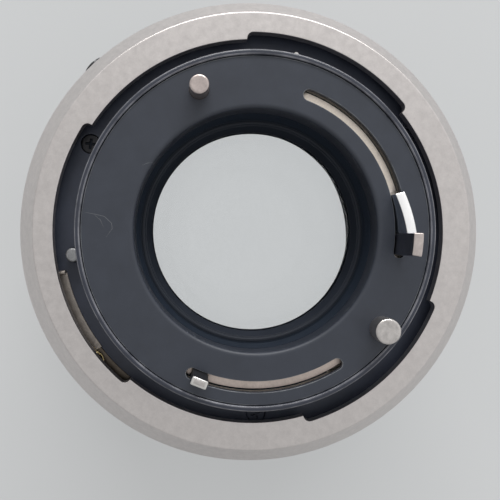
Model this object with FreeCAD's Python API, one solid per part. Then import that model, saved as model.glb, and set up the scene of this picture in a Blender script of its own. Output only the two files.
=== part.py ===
import FreeCAD, Part
import math
import os

# Standard prime lens with a breech-lock mount, in millimetres and degrees.
# +Z runs along the optical axis towards the camera. Z = 0 is the front rim, on which the lens stands.
# Angles are seen from behind the lens, counter-clockwise from +X. The mounting index is at 270 degrees.

# Clearances, and how far a cut reaches past a surface
FIT = 0.03
PRESS = 0.01
RUN = 0.06
PIN_RUN = 0.05
GAP = 0.3
CEMENT = 0.02
OVER = 1.0
CHAMFER = 0.3

# Heights along the axis
FRONT_TO_FLANGE = 44.5
FLANGE_THICKNESS = 1.5
CYLINDER_RISE = 8.3
PLATE_RECESS = 0.3
PLATE_THICKNESS = 0.8
COLLAR_DEPTH = 2.7
BEARING_START_RISE = 2.5
REAR_CELL_RISE = 2.1
PIN_RISE = 3.0

# Glass, from the rear vertex to the front vertex
REAR_VERTEX_RISE = 2.6
THICKNESS = {1: 4.6, 2: 6.4, 3: 1.5, 4: 1.3, 5: 5.6, 6: 4.0}
SEMI = {1: 15.0, 2: 13.2, 3: 12.6, 4: 12.2, 5: 13.6, 6: 13.9}
AIR_5_6 = 0.4
AIR_1_2 = 0.3
FRONT_CURVE = {1: 34.0, 2: 21.0, 3: 75.0, 4: -17.0, 5: 60.0, 6: 110.0}
REAR_CURVE = {1: 150.0, 2: 75.0, 3: 15.5, 4: 60.0, 5: -30.0, 6: -42.0}
HOLLOW_RIM = 0.9
DEEP_RIM = 1.6
CELL_LIP = 0.6
CELL_LIP_WIDTH = 0.8
CELL_PLAY = 0.1
SPACER_LIP = 0.8
SPACER_SLOPE = 0.6

# Radii, each wall or band counted outwards from the rear glass
REAR_CELL_WALL = 2.5
RETAINER_STEP = 1.1
REAR_SPACER_RIM = 0.25
REAR_SPACER_MOUTH = 0.45
RETAINER_LIP = 0.3
LEDGE_PLAY = 0.1
BEARING_STEP = 0.7
OPENING_INSET = 1.5
OPENING_ROUND = 1.0
BAFFLE_TAPER = 0.4
COLLAR_WALL = 0.7
SLOT_STEP = 1.5
SLOT_WIDTH = 1.45
CARRIER_WEB = 0.64
CARRIER_BAND = 2.6
SIGNAL_STEP = 2.0
SIGNAL_LEVER_STEP = 0.8
SIGNAL_RING_WIDTH = 2.84
SIGNAL_SLOT_STEP = 2.9
SIGNAL_SLOT_WIDTH = 1.45
CYLINDER_WALL = 1.1
RIM_WIDTH = 0.5
FOOT_RELIEF = 0.3
TROUGH_WIDTH = 2.6
NOTCH_DEPTH = 1.0
NOTCH_TO_SKIRT = 2.3
RING_WALL = 3.0
BEVEL_WIDTH = 2.6

# Breech-lock ring
RING_RISE = 3.5
LUG_THICKNESS = 1.5
BEVEL_DROP = 4.3
RING_LENGTH = 9.3
RING_LIP = 0.9
RING_LIP_START = 0.5
RING_LIP_END = 1.4
FLUTE_MARGIN = 0.8
RING_PLAY = 0.15
INDEX_ANGLE = 270.0
INDEX_NOTCH_HALF = 41.75
SIDE_NOTCH_HALF = 26.7
SIDE_NOTCH_TURN = 123.35
NOTCH_CORNER = 0.9
RING_FLUTES = 72
FLUTE_DEPTH = 0.35
RING_FLUTE_SHARE = 0.35
KEEPER_THICKNESS = 1.5

# Levers and carriers
CARRIER_THICKNESS = 1.2
CARRIER_DROP = 1.8
SIGNAL_CARRIER_DROP = 3.6
AUTO_SLOT = (70.5, 152.4)
AUTO_BAND = (70.0, 153.0)
SIGNAL_SLOT = (325.0, 384.7)
SIGNAL_BAND = (322.0, 379.0)
SIGNAL_BAND_GAP = 1.0
FIN_THICKNESS = 1.1
FIN_START = 96.8
FIN_TOP = 80.7
FOOT_START = 78.9
FOOT_END = 71.7
FIN_LOW = 1.85
FIN_HIGH = 3.7
FIN_RISE = 0.4
FOOT_HIGH = 6.4
SIGNAL_ANGLE = 329.9
SIGNAL_WIDTH = 2.05
SIGNAL_THICKNESS = 1.1
SIGNAL_CHAMFER = 0.2
SIGNAL_RISE = 4.6
AUTO_TRAVEL = 36.0
APERTURE_TRAVEL = 50.0
ARM_ANGLE = 110.0
ARM_WIDTH = 2.4
ARM_THICKNESS = 0.8
ARM_LENGTH = 13.0
ARM_INSET = 0.2
TAB_ANGLE = 262.0
TAB_WIDTH = 4.4
TAB_THICKNESS = 1.0
TAB_STEP = 0.9
TAB_INSET = 0.1
TAB_REACH = 0.8

# Pins on the rear
SWITCH_PIN_R = 1.24
SWITCH_PIN_ANGLE = 193.7
SWITCH_PIN_STEP = 2.25
SWITCH_PIN_HEAD = 1.4
PIN_COLLAR = 0.4
FULL_PIN_R = 1.62
FULL_PIN_ANGLE = 43.5
FULL_PIN_STEP = 3.4
FULL_PIN_SHANK = 1.0
PIN_CHAMFER = 0.35
POSITION_PIN_R = 0.95
POSITION_PIN_ANGLE = 269.0
POSITION_PIN_RISE = 1.9
POSITION_PIN_STEP = 1.5
RELEASE_PIN_R = 0.35
RELEASE_PIN_ANGLE = 157.5
RELEASE_PIN_RISE = 2.0
RELEASE_PIN_STEP = 1.85
RELEASE_PIN_TRAVEL = 1.2
SCREW_ANGLES = (232.9, 112.9, 352.9)
SCREW_STEP = 2.2
SCREW_HEAD_R = 1.3
SCREW_HEAD_HEIGHT = 0.7
SCREW_SHANK_R = 0.8
SCREW_LENGTH = 5.0
BOSS_HALF = 4.0
CROSS_LENGTH = 1.5
CROSS_WIDTH = 0.35
LEAF_ANGLES = (273.0, 312.5)
LEAF_STEP = 2.4
LEAF_WIDTH = 2.3
LEAF_THICKNESS = 0.25
LEAF_LIFT = 0.9
HOOK_LIFT = 0.7
HOOK_HALF = 0.35
HOOK_ANGLES = (300.0, 301.5)

# Iris
BLADES = 6
IRIS_OPEN_R = 11.0
IRIS_CLOSED_R = 1.6
BLADE_BAND = 5.6
BLADE_THICKNESS = 0.1
BLADE_PITCH = 0.15
BLADE_SPAN = 116.0
BLADE_BACK = 2.0
BLADE_TAB = 35.0
BLADE_TIP = 4.0
BLADE_NECK = 4.0
PIVOT_STEP = 0.6
PIVOT_MARGIN = 0.9
IRIS_PIN_R = 0.45
DRIVE_PIN_ANGLE = 15.0
FIRST_PIVOT = 5.0
IRIS_FLOOR = 1.05
IRIS_EDGE = 0.3
DRIVE_THICKNESS = 0.6
DRIVE_MARGIN = 0.7
PRONG_WIDTH = 1.2
PRONG_LENGTH = 14.4
HOUSING_WALL = 1.5
IRIS_COVER = 1.0
FORK_PLAY = 0.1

# Barrels and rings
FRONT_BARREL_WALL = 2.9
FRONT_BARREL_SETBACK = 4.0
FRONT_WEB = 2.0
HELICOID_GAP = 0.1
MOUNT_BARREL_GAP = 1.85
MOUNT_BARREL_WALL = 1.7
MOUNT_BARREL_START = 17.0
SEAT_STEP = 0.6
BEARING_RISE = 1.0
BARREL_COLLAR = 0.6
KEY_WIDTH = 6.8
KEY_LENGTH = 3.5
KEY_DEPTH = 1.3
KEY_PLAY = 0.15
KEY_RISE = 0.7
SKIRT_STEP = 1.0
SKIRT_WALL = 1.4
FILTER_WALL = 2.04
FILTER_WEB = 2.0
FILTER_DEPTH = 4.5
NAME_SEAT_DEPTH = 1.0
NAME_SEAT_STEP = 0.6
SKIRT_LENGTH = 13.9
NAME_RING_WALL = 0.9
NAME_RING_STEP = 0.6
NAME_RING_TURN = 0.4
FRONT_CELL_LIP = 2.3
FRONT_RETAINER_LENGTH = 1.8
HOOD_RIM = 1.0
HOOD_RIM_LENGTH = 1.8
HOOD_GROOVE_LENGTH = 1.6
HOOD_GROOVE_DEPTH = 0.4
HOOD_ENTRIES = 3
HOOD_ENTRY_ANGLE = 18.0
FOCUS_WALL = 1.3
FOCUS_START = 7.6
FOCUS_WEB_START = 14.5
FOCUS_WEB = 2.0
GRIP_THICKNESS = 1.3
GRIP_START = 9.0
GRIP_END = 18.6
GRIP_RIBS = 40
GRIP_ROWS = 3
GRIP_GROOVE = 1.3
GRIP_DEPTH = 0.8
GRIP_BORDER = 0.6
SLEEVE_CLEAR = 1.8
SLEEVE_STEP = 0.2
RING_GAP = 0.2
COLLAR_DROP = 0.5
DEPTH_RING_LENGTH = 4.7
APERTURE_RING_LENGTH = 8.4
APERTURE_BAND = 3.8
APERTURE_RIBS = 36
APERTURE_RIB_DEPTH = 0.6
APERTURE_RIB_SHARE = 0.45
RIB_RISE = 0.7
SCALE_STEP = 0.2
BAND_SLOPE = 0.5
SLOT_MARGIN = 4.0
BUTTON_R = 1.9
BUTTON_ANGLE = 213.8
BUTTON_REACH = 2.8
BUTTON_TRAVEL = 1.0
BUTTON_PAD = 0.9
BUTTON_ROUND = 1.1
COUPLING_PIN_R = 0.9
COUPLING_SEAT = 1.2
CLICK_ANGLE = 120.0
CLICK_BALL_R = 0.7
CLICK_LEAF = 0.3
CLICK_LEAF_ARC = 12.0
CLICK_LEAF_END = 3.0

# Derived heights
FLANGE = FRONT_TO_FLANGE
FLANGE_BOTTOM = FLANGE - FLANGE_THICKNESS
RIM_TOP = FLANGE + CYLINDER_RISE
PLATE_TOP = RIM_TOP - PLATE_RECESS
PLATE_BOTTOM = PLATE_TOP - PLATE_THICKNESS
PIN_TOP = PLATE_TOP + PIN_RISE
COLLAR_BOTTOM = PLATE_BOTTOM - COLLAR_DEPTH
REAR_CELL_TOP = FLANGE + REAR_CELL_RISE
CARRIER_TOP = PLATE_TOP - CARRIER_DROP
CARRIER_BOTTOM = CARRIER_TOP - CARRIER_THICKNESS
SIGNAL_TOP = PLATE_TOP - SIGNAL_CARRIER_DROP
SIGNAL_BOTTOM = SIGNAL_TOP - CARRIER_THICKNESS
RING_TOP = FLANGE + RING_RISE
RING_BOTTOM = RING_TOP - RING_LENGTH - GAP

# Derived radii
REAR_CELL_R = SEMI[6] + REAR_CELL_WALL
BEARING_R = REAR_CELL_R + BEARING_STEP
OPENING_R = BEARING_R - OPENING_INSET
COLLAR_R = OPENING_R + COLLAR_WALL
AUTO_SLOT_R = BEARING_R + SLOT_STEP
BAND_R = BEARING_R + CARRIER_BAND
SIGNAL_IN_R = BEARING_R + SIGNAL_STEP
SIGNAL_LEVER_R = SIGNAL_IN_R + SIGNAL_LEVER_STEP
SIGNAL_SLOT_R = BEARING_R + SIGNAL_SLOT_STEP
SIGNAL_OUT_R = SIGNAL_IN_R + SIGNAL_RING_WIDTH
CYLINDER_IN_R = SIGNAL_OUT_R + RUN
CYLINDER_R = CYLINDER_IN_R + CYLINDER_WALL
LUG_R = CYLINDER_R + TROUGH_WIDTH
NOTCH_R = LUG_R + NOTCH_DEPTH
SKIRT_IN_R = NOTCH_R + NOTCH_TO_SKIRT
RING_R = SKIRT_IN_R + RING_WALL
FACE_R = RING_R - BEVEL_WIDTH
ARM_R = AUTO_SLOT_R - ARM_INSET
DRIVE_R = ARM_R + DRIVE_MARGIN
HOUSING_R = DRIVE_R + RUN + HOUSING_WALL
BARREL_BORE_R = HOUSING_R + FIT
BARREL_R = BARREL_BORE_R + FRONT_BARREL_WALL
SLEEVE_IN_R = BARREL_R + HELICOID_GAP
MOUNT_IN_R = BARREL_R + MOUNT_BARREL_GAP
SLEEVE_R = MOUNT_IN_R - HELICOID_GAP
MOUNT_R = MOUNT_IN_R + MOUNT_BARREL_WALL
SEAT_R = MOUNT_R + SEAT_STEP
APERTURE_BEARING_R = MOUNT_R + BEARING_RISE
SKIRT_INSIDE_R = MOUNT_R + SKIRT_STEP
SKIRT_R = SKIRT_INSIDE_R + SKIRT_WALL
FILTER_R = SKIRT_R - FILTER_WALL
NAME_SEAT_R = FILTER_R - NAME_SEAT_STEP
FOCUS_IN_R = SKIRT_R + GAP
FOCUS_R = FOCUS_IN_R + FOCUS_WALL
GRIP_R = FOCUS_R + GRIP_THICKNESS
RIB_R = FOCUS_R + RIB_RISE
NOSE_R = SEMI[3] + DEEP_RIM


def sag(curve, radius):
    """Height of a spherical surface at a radius, from its vertex."""
    return curve - math.copysign(math.sqrt(curve * curve - radius * radius), curve)


# Glass heights, worked forwards from the rear vertex
REAR_Z = {6: FLANGE + REAR_VERTEX_RISE}
FRONT_Z = {6: REAR_Z[6] - THICKNESS[6]}
REAR_Z[5] = FRONT_Z[6] - AIR_5_6
FRONT_Z[5] = REAR_Z[5] - THICKNESS[5]
REAR_Z[4] = FRONT_Z[5] - CEMENT
FRONT_Z[4] = REAR_Z[4] - THICKNESS[4]
EDGE_4 = FRONT_Z[4] + sag(FRONT_CURVE[4], SEMI[4] - HOLLOW_RIM)
REAR_CELL_BOTTOM = EDGE_4 - CELL_LIP
DRIVE_TOP = REAR_CELL_BOTTOM - IRIS_EDGE
DRIVE_BOTTOM = DRIVE_TOP - DRIVE_THICKNESS
BLADE_FLOOR = DRIVE_BOTTOM - BLADES * BLADE_PITCH - 2 * PIN_RUN
IRIS_BOTTOM = BLADE_FLOOR - IRIS_FLOOR
EDGE_3 = IRIS_BOTTOM - CELL_LIP
REAR_Z[3] = EDGE_3 - sag(REAR_CURVE[3], SEMI[3] - DEEP_RIM)
FRONT_Z[3] = REAR_Z[3] - THICKNESS[3]
REAR_Z[2] = FRONT_Z[3] - CEMENT
FRONT_Z[2] = REAR_Z[2] - THICKNESS[2]
REAR_Z[1] = FRONT_Z[2] - AIR_1_2
FRONT_Z[1] = REAR_Z[1] - THICKNESS[1]
EDGE_1 = FRONT_Z[1] + sag(FRONT_CURVE[1], SEMI[1])
EDGE_6 = REAR_Z[6] + sag(REAR_CURVE[6], SEMI[6])
SPACER_IN_R = SEMI[5] - REAR_SPACER_RIM
SPACER_START = REAR_Z[5] + sag(REAR_CURVE[5], SPACER_IN_R) + CEMENT

# Other derived heights
FILTER_WEB_START = FILTER_DEPTH + NAME_SEAT_DEPTH
BARREL_END = FLANGE - FRONT_BARREL_SETBACK
BARREL_START = FILTER_WEB_START + FILTER_WEB
COLLAR_START = RING_BOTTOM - COLLAR_DROP
APERTURE_END = COLLAR_START - RING_GAP
APERTURE_START = APERTURE_END - APERTURE_RING_LENGTH
DEPTH_END = APERTURE_START - RING_GAP
DEPTH_START = DEPTH_END - DEPTH_RING_LENGTH
FOCUS_END = DEPTH_START - RING_GAP
COUPLING_Z = APERTURE_START + APERTURE_RING_LENGTH / 2
SLEEVE_END = COUPLING_Z - COUPLING_PIN_R - SLEEVE_CLEAR
BUTTON_Z = APERTURE_START + APERTURE_BAND + BUTTON_R + RING_GAP
KEY_START = SLEEVE_END + KEY_RISE
WEB_BOTTOM = IRIS_BOTTOM - FRONT_WEB

# Iris geometry
BAND_OUT_R = IRIS_OPEN_R + BLADE_BAND
PIVOT_R = BAND_OUT_R + PIVOT_STEP
BLADE_TURN = 2 * math.degrees(math.asin((IRIS_OPEN_R - IRIS_CLOSED_R) / (2 * PIVOT_R)))
BLADE_RATIO = BLADE_TURN / AUTO_TRAVEL


def point(radius, angle, z=0.0):
    """Point at a radius and an angle in degrees."""
    turn = math.radians(angle)
    return FreeCAD.Vector(radius * math.cos(turn), radius * math.sin(turn), z)


def turned(corners):
    """Solid of revolution about Z from (radius, height) corners."""
    points = [FreeCAD.Vector(r, 0, z) for r, z in corners]
    points.append(points[0])
    face = Part.Face(Part.makePolygon(points))
    return face.revolve(FreeCAD.Vector(0, 0, 0), FreeCAD.Vector(0, 0, 1), 360)


def ring(inner, outer, low, high):
    """Plain ring about Z."""
    return turned([(inner, low), (outer, low), (outer, high), (inner, high)])


def sector(inner, outer, low, high, start, end):
    """Part of a ring between two angles."""
    middle = (start + end) / 2
    outer_arc = Part.Arc(point(outer, start), point(outer, middle), point(outer, end)).toShape()
    inner_arc = Part.Arc(point(inner, end), point(inner, middle), point(inner, start)).toShape()
    side_a = Part.makeLine(point(outer, end), point(inner, end))
    side_b = Part.makeLine(point(inner, start), point(outer, start))
    face = Part.Face(Part.Wire([outer_arc, side_a, inner_arc, side_b]))
    face.translate(FreeCAD.Vector(0, 0, low))
    return face.extrude(FreeCAD.Vector(0, 0, high - low))


def arc_slot(radius, width, low, high, start, end):
    """Curved slot with round ends that reach the two angles."""
    half = width / 2
    inset = math.degrees(half / radius)
    body = sector(radius - half, radius + half, low, high, start + inset, end - inset)
    for angle in (start + inset, end - inset):
        body = body.fuse(post(half, low, high, radius, angle))
    return body.removeSplitter()


def post(radius, low, high, at_radius=0.0, at_angle=0.0):
    """Upright cylinder."""
    return Part.makeCylinder(radius, high - low, point(at_radius, at_angle, low))


def domed_pin(radius, low, high, at_radius, at_angle, chamfer):
    """Upright pin with a chamfered top."""
    corners = [(0, low), (radius, low), (radius, high - chamfer), (radius - chamfer, high), (0, high)]
    pin = turned(corners)
    pin.translate(point(at_radius, at_angle))
    return pin


def radial_bar(radius, start, end, angle, z):
    """Round bar along a radius."""
    direction = point(1, angle)
    return Part.makeCylinder(radius, end - start, point(start, angle, z), direction)


def fluted(body, count, radius, depth, low, high, share):
    """Straight V flutes cut round a ring's outside."""
    half = 180.0 / count * share
    far = radius + depth
    corners = [point(radius - depth, 0), point(far, -half * 2), point(far, half * 2)]
    corners.append(corners[0])
    face = Part.Face(Part.makePolygon(corners))
    face.translate(FreeCAD.Vector(0, 0, low))
    flute = face.extrude(FreeCAD.Vector(0, 0, high - low))
    flutes = []
    for index in range(count):
        copy = flute.copy()
        copy.rotate(FreeCAD.Vector(0, 0, 0), FreeCAD.Vector(0, 0, 1), index * 360.0 / count)
        flutes.append(copy)
    return body.cut(flutes)


def element(number):
    """One glass element, ground to its two curves and its edge."""
    semi = SEMI[number]
    front = FRONT_Z[number]
    rear = REAR_Z[number]
    front_clear = semi - HOLLOW_RIM if FRONT_CURVE[number] < 0 else semi
    rear_clear = semi - DEEP_RIM if 0 < REAR_CURVE[number] < semi * 2 else semi
    lines = []

    def on(vertex, curve, radius):
        return FreeCAD.Vector(radius, 0, vertex + sag(curve, radius))

    def surface(vertex, curve, clear):
        middle = on(vertex, curve, clear / 2)
        return Part.Arc(on(vertex, curve, 0), middle, on(vertex, curve, clear)).toShape()

    front_edge = on(front, FRONT_CURVE[number], front_clear)
    rear_edge = on(rear, REAR_CURVE[number], rear_clear)
    lines.append(surface(front, FRONT_CURVE[number], front_clear))
    corner_front = FreeCAD.Vector(semi, 0, front_edge.z)
    corner_rear = FreeCAD.Vector(semi, 0, rear_edge.z)
    if front_clear < semi:
        lines.append(Part.makeLine(front_edge, corner_front))
    lines.append(Part.makeLine(corner_front, corner_rear))
    if rear_clear < semi:
        lines.append(Part.makeLine(corner_rear, rear_edge))
    lines.append(surface(rear, REAR_CURVE[number], rear_clear))
    lines.append(Part.makeLine(FreeCAD.Vector(0, 0, rear), FreeCAD.Vector(0, 0, front)))
    outline = Part.Wire(Part.__sortEdges__(lines))
    return Part.Face(outline).revolve(FreeCAD.Vector(0, 0, 0), FreeCAD.Vector(0, 0, 1), 360)


def rear_mount_housing():
    """Flange with the rear cylinder, whose rim holds the cover plate."""
    rim_in = CYLINDER_R - RIM_WIDTH
    foot_r = CYLINDER_R - FOOT_RELIEF
    foot_top = FLANGE + RELEASE_PIN_RISE + GAP
    body = turned([
        (CYLINDER_IN_R, FLANGE_BOTTOM), (SKIRT_IN_R - RUN, FLANGE_BOTTOM), (SKIRT_IN_R - RUN, FLANGE),
        (foot_r, FLANGE), (foot_r, foot_top), (CYLINDER_R, foot_top), (CYLINDER_R, RIM_TOP),
        (rim_in, RIM_TOP), (rim_in, PLATE_BOTTOM), (CYLINDER_IN_R, PLATE_BOTTOM)])
    for angle in SCREW_ANGLES:
        at = CYLINDER_R + SCREW_STEP
        hole = post(SCREW_SHANK_R + FIT, FLANGE_BOTTOM - OVER, FLANGE, at, angle)
        sink = post(SCREW_HEAD_R + FIT, FLANGE - SCREW_HEAD_HEIGHT, FLANGE + OVER, at, angle)
        body = body.cut(hole.fuse(sink))
    seat = post(POSITION_PIN_R + PRESS, FLANGE_BOTTOM - OVER, FLANGE + OVER,
                CYLINDER_R + POSITION_PIN_STEP, POSITION_PIN_ANGLE)
    guide = post(RELEASE_PIN_R + PIN_RUN, FLANGE_BOTTOM - OVER, FLANGE + OVER,
                 CYLINDER_R + RELEASE_PIN_STEP, RELEASE_PIN_ANGLE)
    return body.cut([seat, guide])


def rear_cover_plate():
    """Annular cover with two lever slots, pin holes and a drawn collar round the opening."""
    outer = CYLINDER_R - RIM_WIDTH - FIT
    top = PLATE_TOP
    start = FreeCAD.Vector(OPENING_R + OPENING_ROUND, 0, top)
    end = FreeCAD.Vector(OPENING_R, 0, top - OPENING_ROUND)
    slope = OPENING_ROUND * (1 - math.sqrt(0.5))
    middle = FreeCAD.Vector(OPENING_R + slope, 0, top - slope)
    edges = [Part.Arc(start, middle, end).toShape()]
    corners = [end]
    for r, z in ((OPENING_R, COLLAR_BOTTOM), (COLLAR_R, COLLAR_BOTTOM), (COLLAR_R, PLATE_BOTTOM),
                 (outer, PLATE_BOTTOM), (outer, top)):
        corners.append(FreeCAD.Vector(r, 0, z))
    corners.append(start)
    for first, second in zip(corners, corners[1:]):
        edges.append(Part.makeLine(first, second))
    face = Part.Face(Part.Wire(edges))
    body = face.revolve(FreeCAD.Vector(0, 0, 0), FreeCAD.Vector(0, 0, 1), 360)
    low = PLATE_BOTTOM - OVER
    high = PLATE_TOP + OVER
    cuts = [arc_slot(AUTO_SLOT_R, SLOT_WIDTH, low, high, *AUTO_SLOT)]
    cuts.append(arc_slot(SIGNAL_SLOT_R, SIGNAL_SLOT_WIDTH, low, high, *SIGNAL_SLOT))
    cuts.append(post(SWITCH_PIN_R + PIN_RUN, low, high, BEARING_R + SWITCH_PIN_STEP, SWITCH_PIN_ANGLE))
    cuts.append(post(FULL_PIN_SHANK + FIT, low, high, BEARING_R + FULL_PIN_STEP, FULL_PIN_ANGLE))
    return body.cut(cuts)


def lever_bearing_sleeve():
    """Sleeve under the cover plate: the levers turn on its outside, its inside is the light baffle."""
    ledge = COLLAR_BOTTOM - FIT
    bottom = FLANGE + BEARING_START_RISE
    inside = COLLAR_R + FIT
    return turned([
        (OPENING_R - BAFFLE_TAPER, bottom), (BEARING_R, bottom), (BEARING_R, PLATE_BOTTOM),
        (inside, PLATE_BOTTOM), (inside, ledge), (OPENING_R - PRESS, ledge)])


def mount_barrel():
    """Fixed barrel that carries the rings: focus bearing, depth ring seat, aperture bearing, collar."""
    body = turned([
        (MOUNT_IN_R, MOUNT_BARREL_START), (MOUNT_R, MOUNT_BARREL_START), (MOUNT_R, DEPTH_START),
        (SEAT_R, DEPTH_START), (SEAT_R, DEPTH_END), (APERTURE_BEARING_R, DEPTH_END),
        (APERTURE_BEARING_R, COLLAR_START), (SKIRT_IN_R + SEAT_STEP, COLLAR_START),
        (SKIRT_IN_R + SEAT_STEP, COLLAR_START + BARREL_COLLAR), (SEAT_R, COLLAR_START + BARREL_COLLAR),
        (SEAT_R, FLANGE_BOTTOM), (MOUNT_IN_R, FLANGE_BOTTOM)])
    boss_low = FLANGE_BOTTOM - SCREW_LENGTH
    for angle in SCREW_ANGLES:
        start = angle - BOSS_HALF
        end = angle + BOSS_HALF
        boss = sector(BARREL_R + GAP, MOUNT_IN_R + GAP, boss_low, FLANGE_BOTTOM, start, end)
        body = body.fuse(boss)
    cuts = []
    for angle in SCREW_ANGLES:
        cuts.append(post(SCREW_SHANK_R + FIT, boss_low, FLANGE, CYLINDER_R + SCREW_STEP, angle))
    pocket_low = FLANGE_BOTTOM - PIN_COLLAR - RELEASE_PIN_TRAVEL - GAP
    cuts.append(post(2 * RELEASE_PIN_R + PIN_RUN, pocket_low, FLANGE, CYLINDER_R + RELEASE_PIN_STEP,
                     RELEASE_PIN_ANGLE))
    slot_half = COUPLING_PIN_R + GAP
    slot_low = COUPLING_Z - slot_half
    slot_high = COUPLING_Z + slot_half
    slot_start = TAB_ANGLE - SLOT_MARGIN
    slot_end = TAB_ANGLE + APERTURE_TRAVEL + SLOT_MARGIN
    inner = MOUNT_IN_R - OVER
    outer = APERTURE_BEARING_R + OVER
    cuts.append(sector(inner, outer, slot_low, slot_high, slot_start, slot_end))
    cuts.append(radial_bar(CLICK_BALL_R + PIN_RUN, inner, outer, CLICK_ANGLE, COUPLING_Z))
    return body.removeSplitter().cut(cuts)


def breech_lock_ring():
    """Locking ring: bevelled outside, lugs parted by three notches, fluted skirt."""
    lug_bottom = RING_TOP - LUG_THICKNESS
    bevel_bottom = RING_TOP - BEVEL_DROP
    body = turned([
        (LUG_R, lug_bottom), (SKIRT_IN_R, lug_bottom), (SKIRT_IN_R, RING_BOTTOM + RING_LIP_END),
        (SKIRT_IN_R + RING_LIP, RING_BOTTOM + RING_LIP_START), (SKIRT_IN_R + RING_LIP, RING_BOTTOM),
        (RING_R - CHAMFER, RING_BOTTOM), (RING_R, RING_BOTTOM + CHAMFER), (RING_R, bevel_bottom),
        (FACE_R, RING_TOP), (LUG_R, RING_TOP)])
    corner = math.degrees(NOTCH_CORNER / NOTCH_R)
    cuts = []
    for centre, half in ((INDEX_ANGLE, INDEX_NOTCH_HALF),
                         (INDEX_ANGLE - SIDE_NOTCH_TURN, SIDE_NOTCH_HALF),
                         (INDEX_ANGLE + SIDE_NOTCH_TURN, SIDE_NOTCH_HALF)):
        inner = LUG_R - OVER
        low = lug_bottom - OVER
        high = RING_TOP + OVER
        cuts.append(sector(inner, NOTCH_R, low, high, centre - half + corner, centre + half - corner))
        cuts.append(sector(inner, NOTCH_R - NOTCH_CORNER, low, high, centre - half, centre + half))
        for side in (-1, 1):
            angle = centre + side * (half - corner)
            cuts.append(post(NOTCH_CORNER, low, high, NOTCH_R - NOTCH_CORNER, angle))
    body = body.cut(cuts)
    flute_low = RING_BOTTOM + FLUTE_MARGIN
    flute_high = bevel_bottom - FLUTE_MARGIN
    return fluted(body, RING_FLUTES, RING_R, FLUTE_DEPTH, flute_low, flute_high, RING_FLUTE_SHARE)


def breech_keeper_ring():
    """Ring screwed into the skirt behind the flange, so that the locking ring cannot lift off."""
    top = FLANGE_BOTTOM - RING_PLAY
    return ring(SEAT_R + GAP, SKIRT_IN_R - FIT, top - KEEPER_THICKNESS, top)


def positioning_pin():
    return domed_pin(POSITION_PIN_R, FLANGE_BOTTOM, FLANGE + POSITION_PIN_RISE,
                     CYLINDER_R + POSITION_PIN_STEP, POSITION_PIN_ANGLE, CHAMFER)


def full_aperture_pin():
    at = BEARING_R + FULL_PIN_STEP
    head = domed_pin(FULL_PIN_R, PLATE_TOP, PIN_TOP, at, FULL_PIN_ANGLE, PIN_CHAMFER)
    return head.fuse(post(FULL_PIN_SHANK, PLATE_BOTTOM, PLATE_TOP, at, FULL_PIN_ANGLE))


def exposure_switch_pin():
    at = BEARING_R + SWITCH_PIN_STEP
    head_top = PLATE_BOTTOM - PIN_RUN
    body = domed_pin(SWITCH_PIN_R, head_top - PIN_COLLAR, PIN_TOP, at, SWITCH_PIN_ANGLE, PIN_CHAMFER)
    return body.fuse(post(SWITCH_PIN_HEAD, head_top - PIN_COLLAR, head_top, at, SWITCH_PIN_ANGLE))


def ring_release_pin():
    at = CYLINDER_R + RELEASE_PIN_STEP
    low = FLANGE_BOTTOM - PIN_RUN - PIN_COLLAR
    body = domed_pin(RELEASE_PIN_R, low, FLANGE + RELEASE_PIN_RISE, at, RELEASE_PIN_ANGLE,
                     RELEASE_PIN_R / 3)
    collar = post(2 * RELEASE_PIN_R, low, FLANGE_BOTTOM - PIN_RUN, at, RELEASE_PIN_ANGLE)
    return body.fuse(collar)


def mount_screws():
    """Three screws that hold the flange to the mount barrel."""
    screws = []
    at = CYLINDER_R + SCREW_STEP
    for angle in SCREW_ANGLES:
        head = post(SCREW_HEAD_R, FLANGE - SCREW_HEAD_HEIGHT, FLANGE, at, angle)
        shank = post(SCREW_SHANK_R, FLANGE_BOTTOM - SCREW_LENGTH + CROSS_WIDTH, FLANGE, at, angle)
        corner = FreeCAD.Vector(-CROSS_LENGTH / 2, -CROSS_WIDTH / 2, 0)
        cross = Part.makeBox(CROSS_LENGTH, CROSS_WIDTH, OVER, corner)
        other = cross.copy()
        other.rotate(FreeCAD.Vector(0, 0, 0), FreeCAD.Vector(0, 0, 1), 90)
        recess = cross.fuse(other)
        recess.translate(point(at, angle, FLANGE - CROSS_WIDTH))
        screws.append(head.fuse(shank).cut(recess))
    return Part.makeCompound(screws)


def lock_spring_leaf():
    """Bronze leaf on the flange with a turned-up end and a small hook."""
    inner = CYLINDER_R + LEAF_STEP
    outer = inner + LEAF_WIDTH
    start, end = LEAF_ANGLES
    leaf = sector(inner, outer, FLANGE, FLANGE + LEAF_THICKNESS, start, end)
    raised = sector(inner, outer, FLANGE, FLANGE + LEAF_LIFT, start, start + 1.0)
    hook = sector(inner - HOOK_HALF, inner + HOOK_HALF, FLANGE, FLANGE + HOOK_LIFT, *HOOK_ANGLES)
    return leaf.fuse([raised, hook]).removeSplitter()


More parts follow.
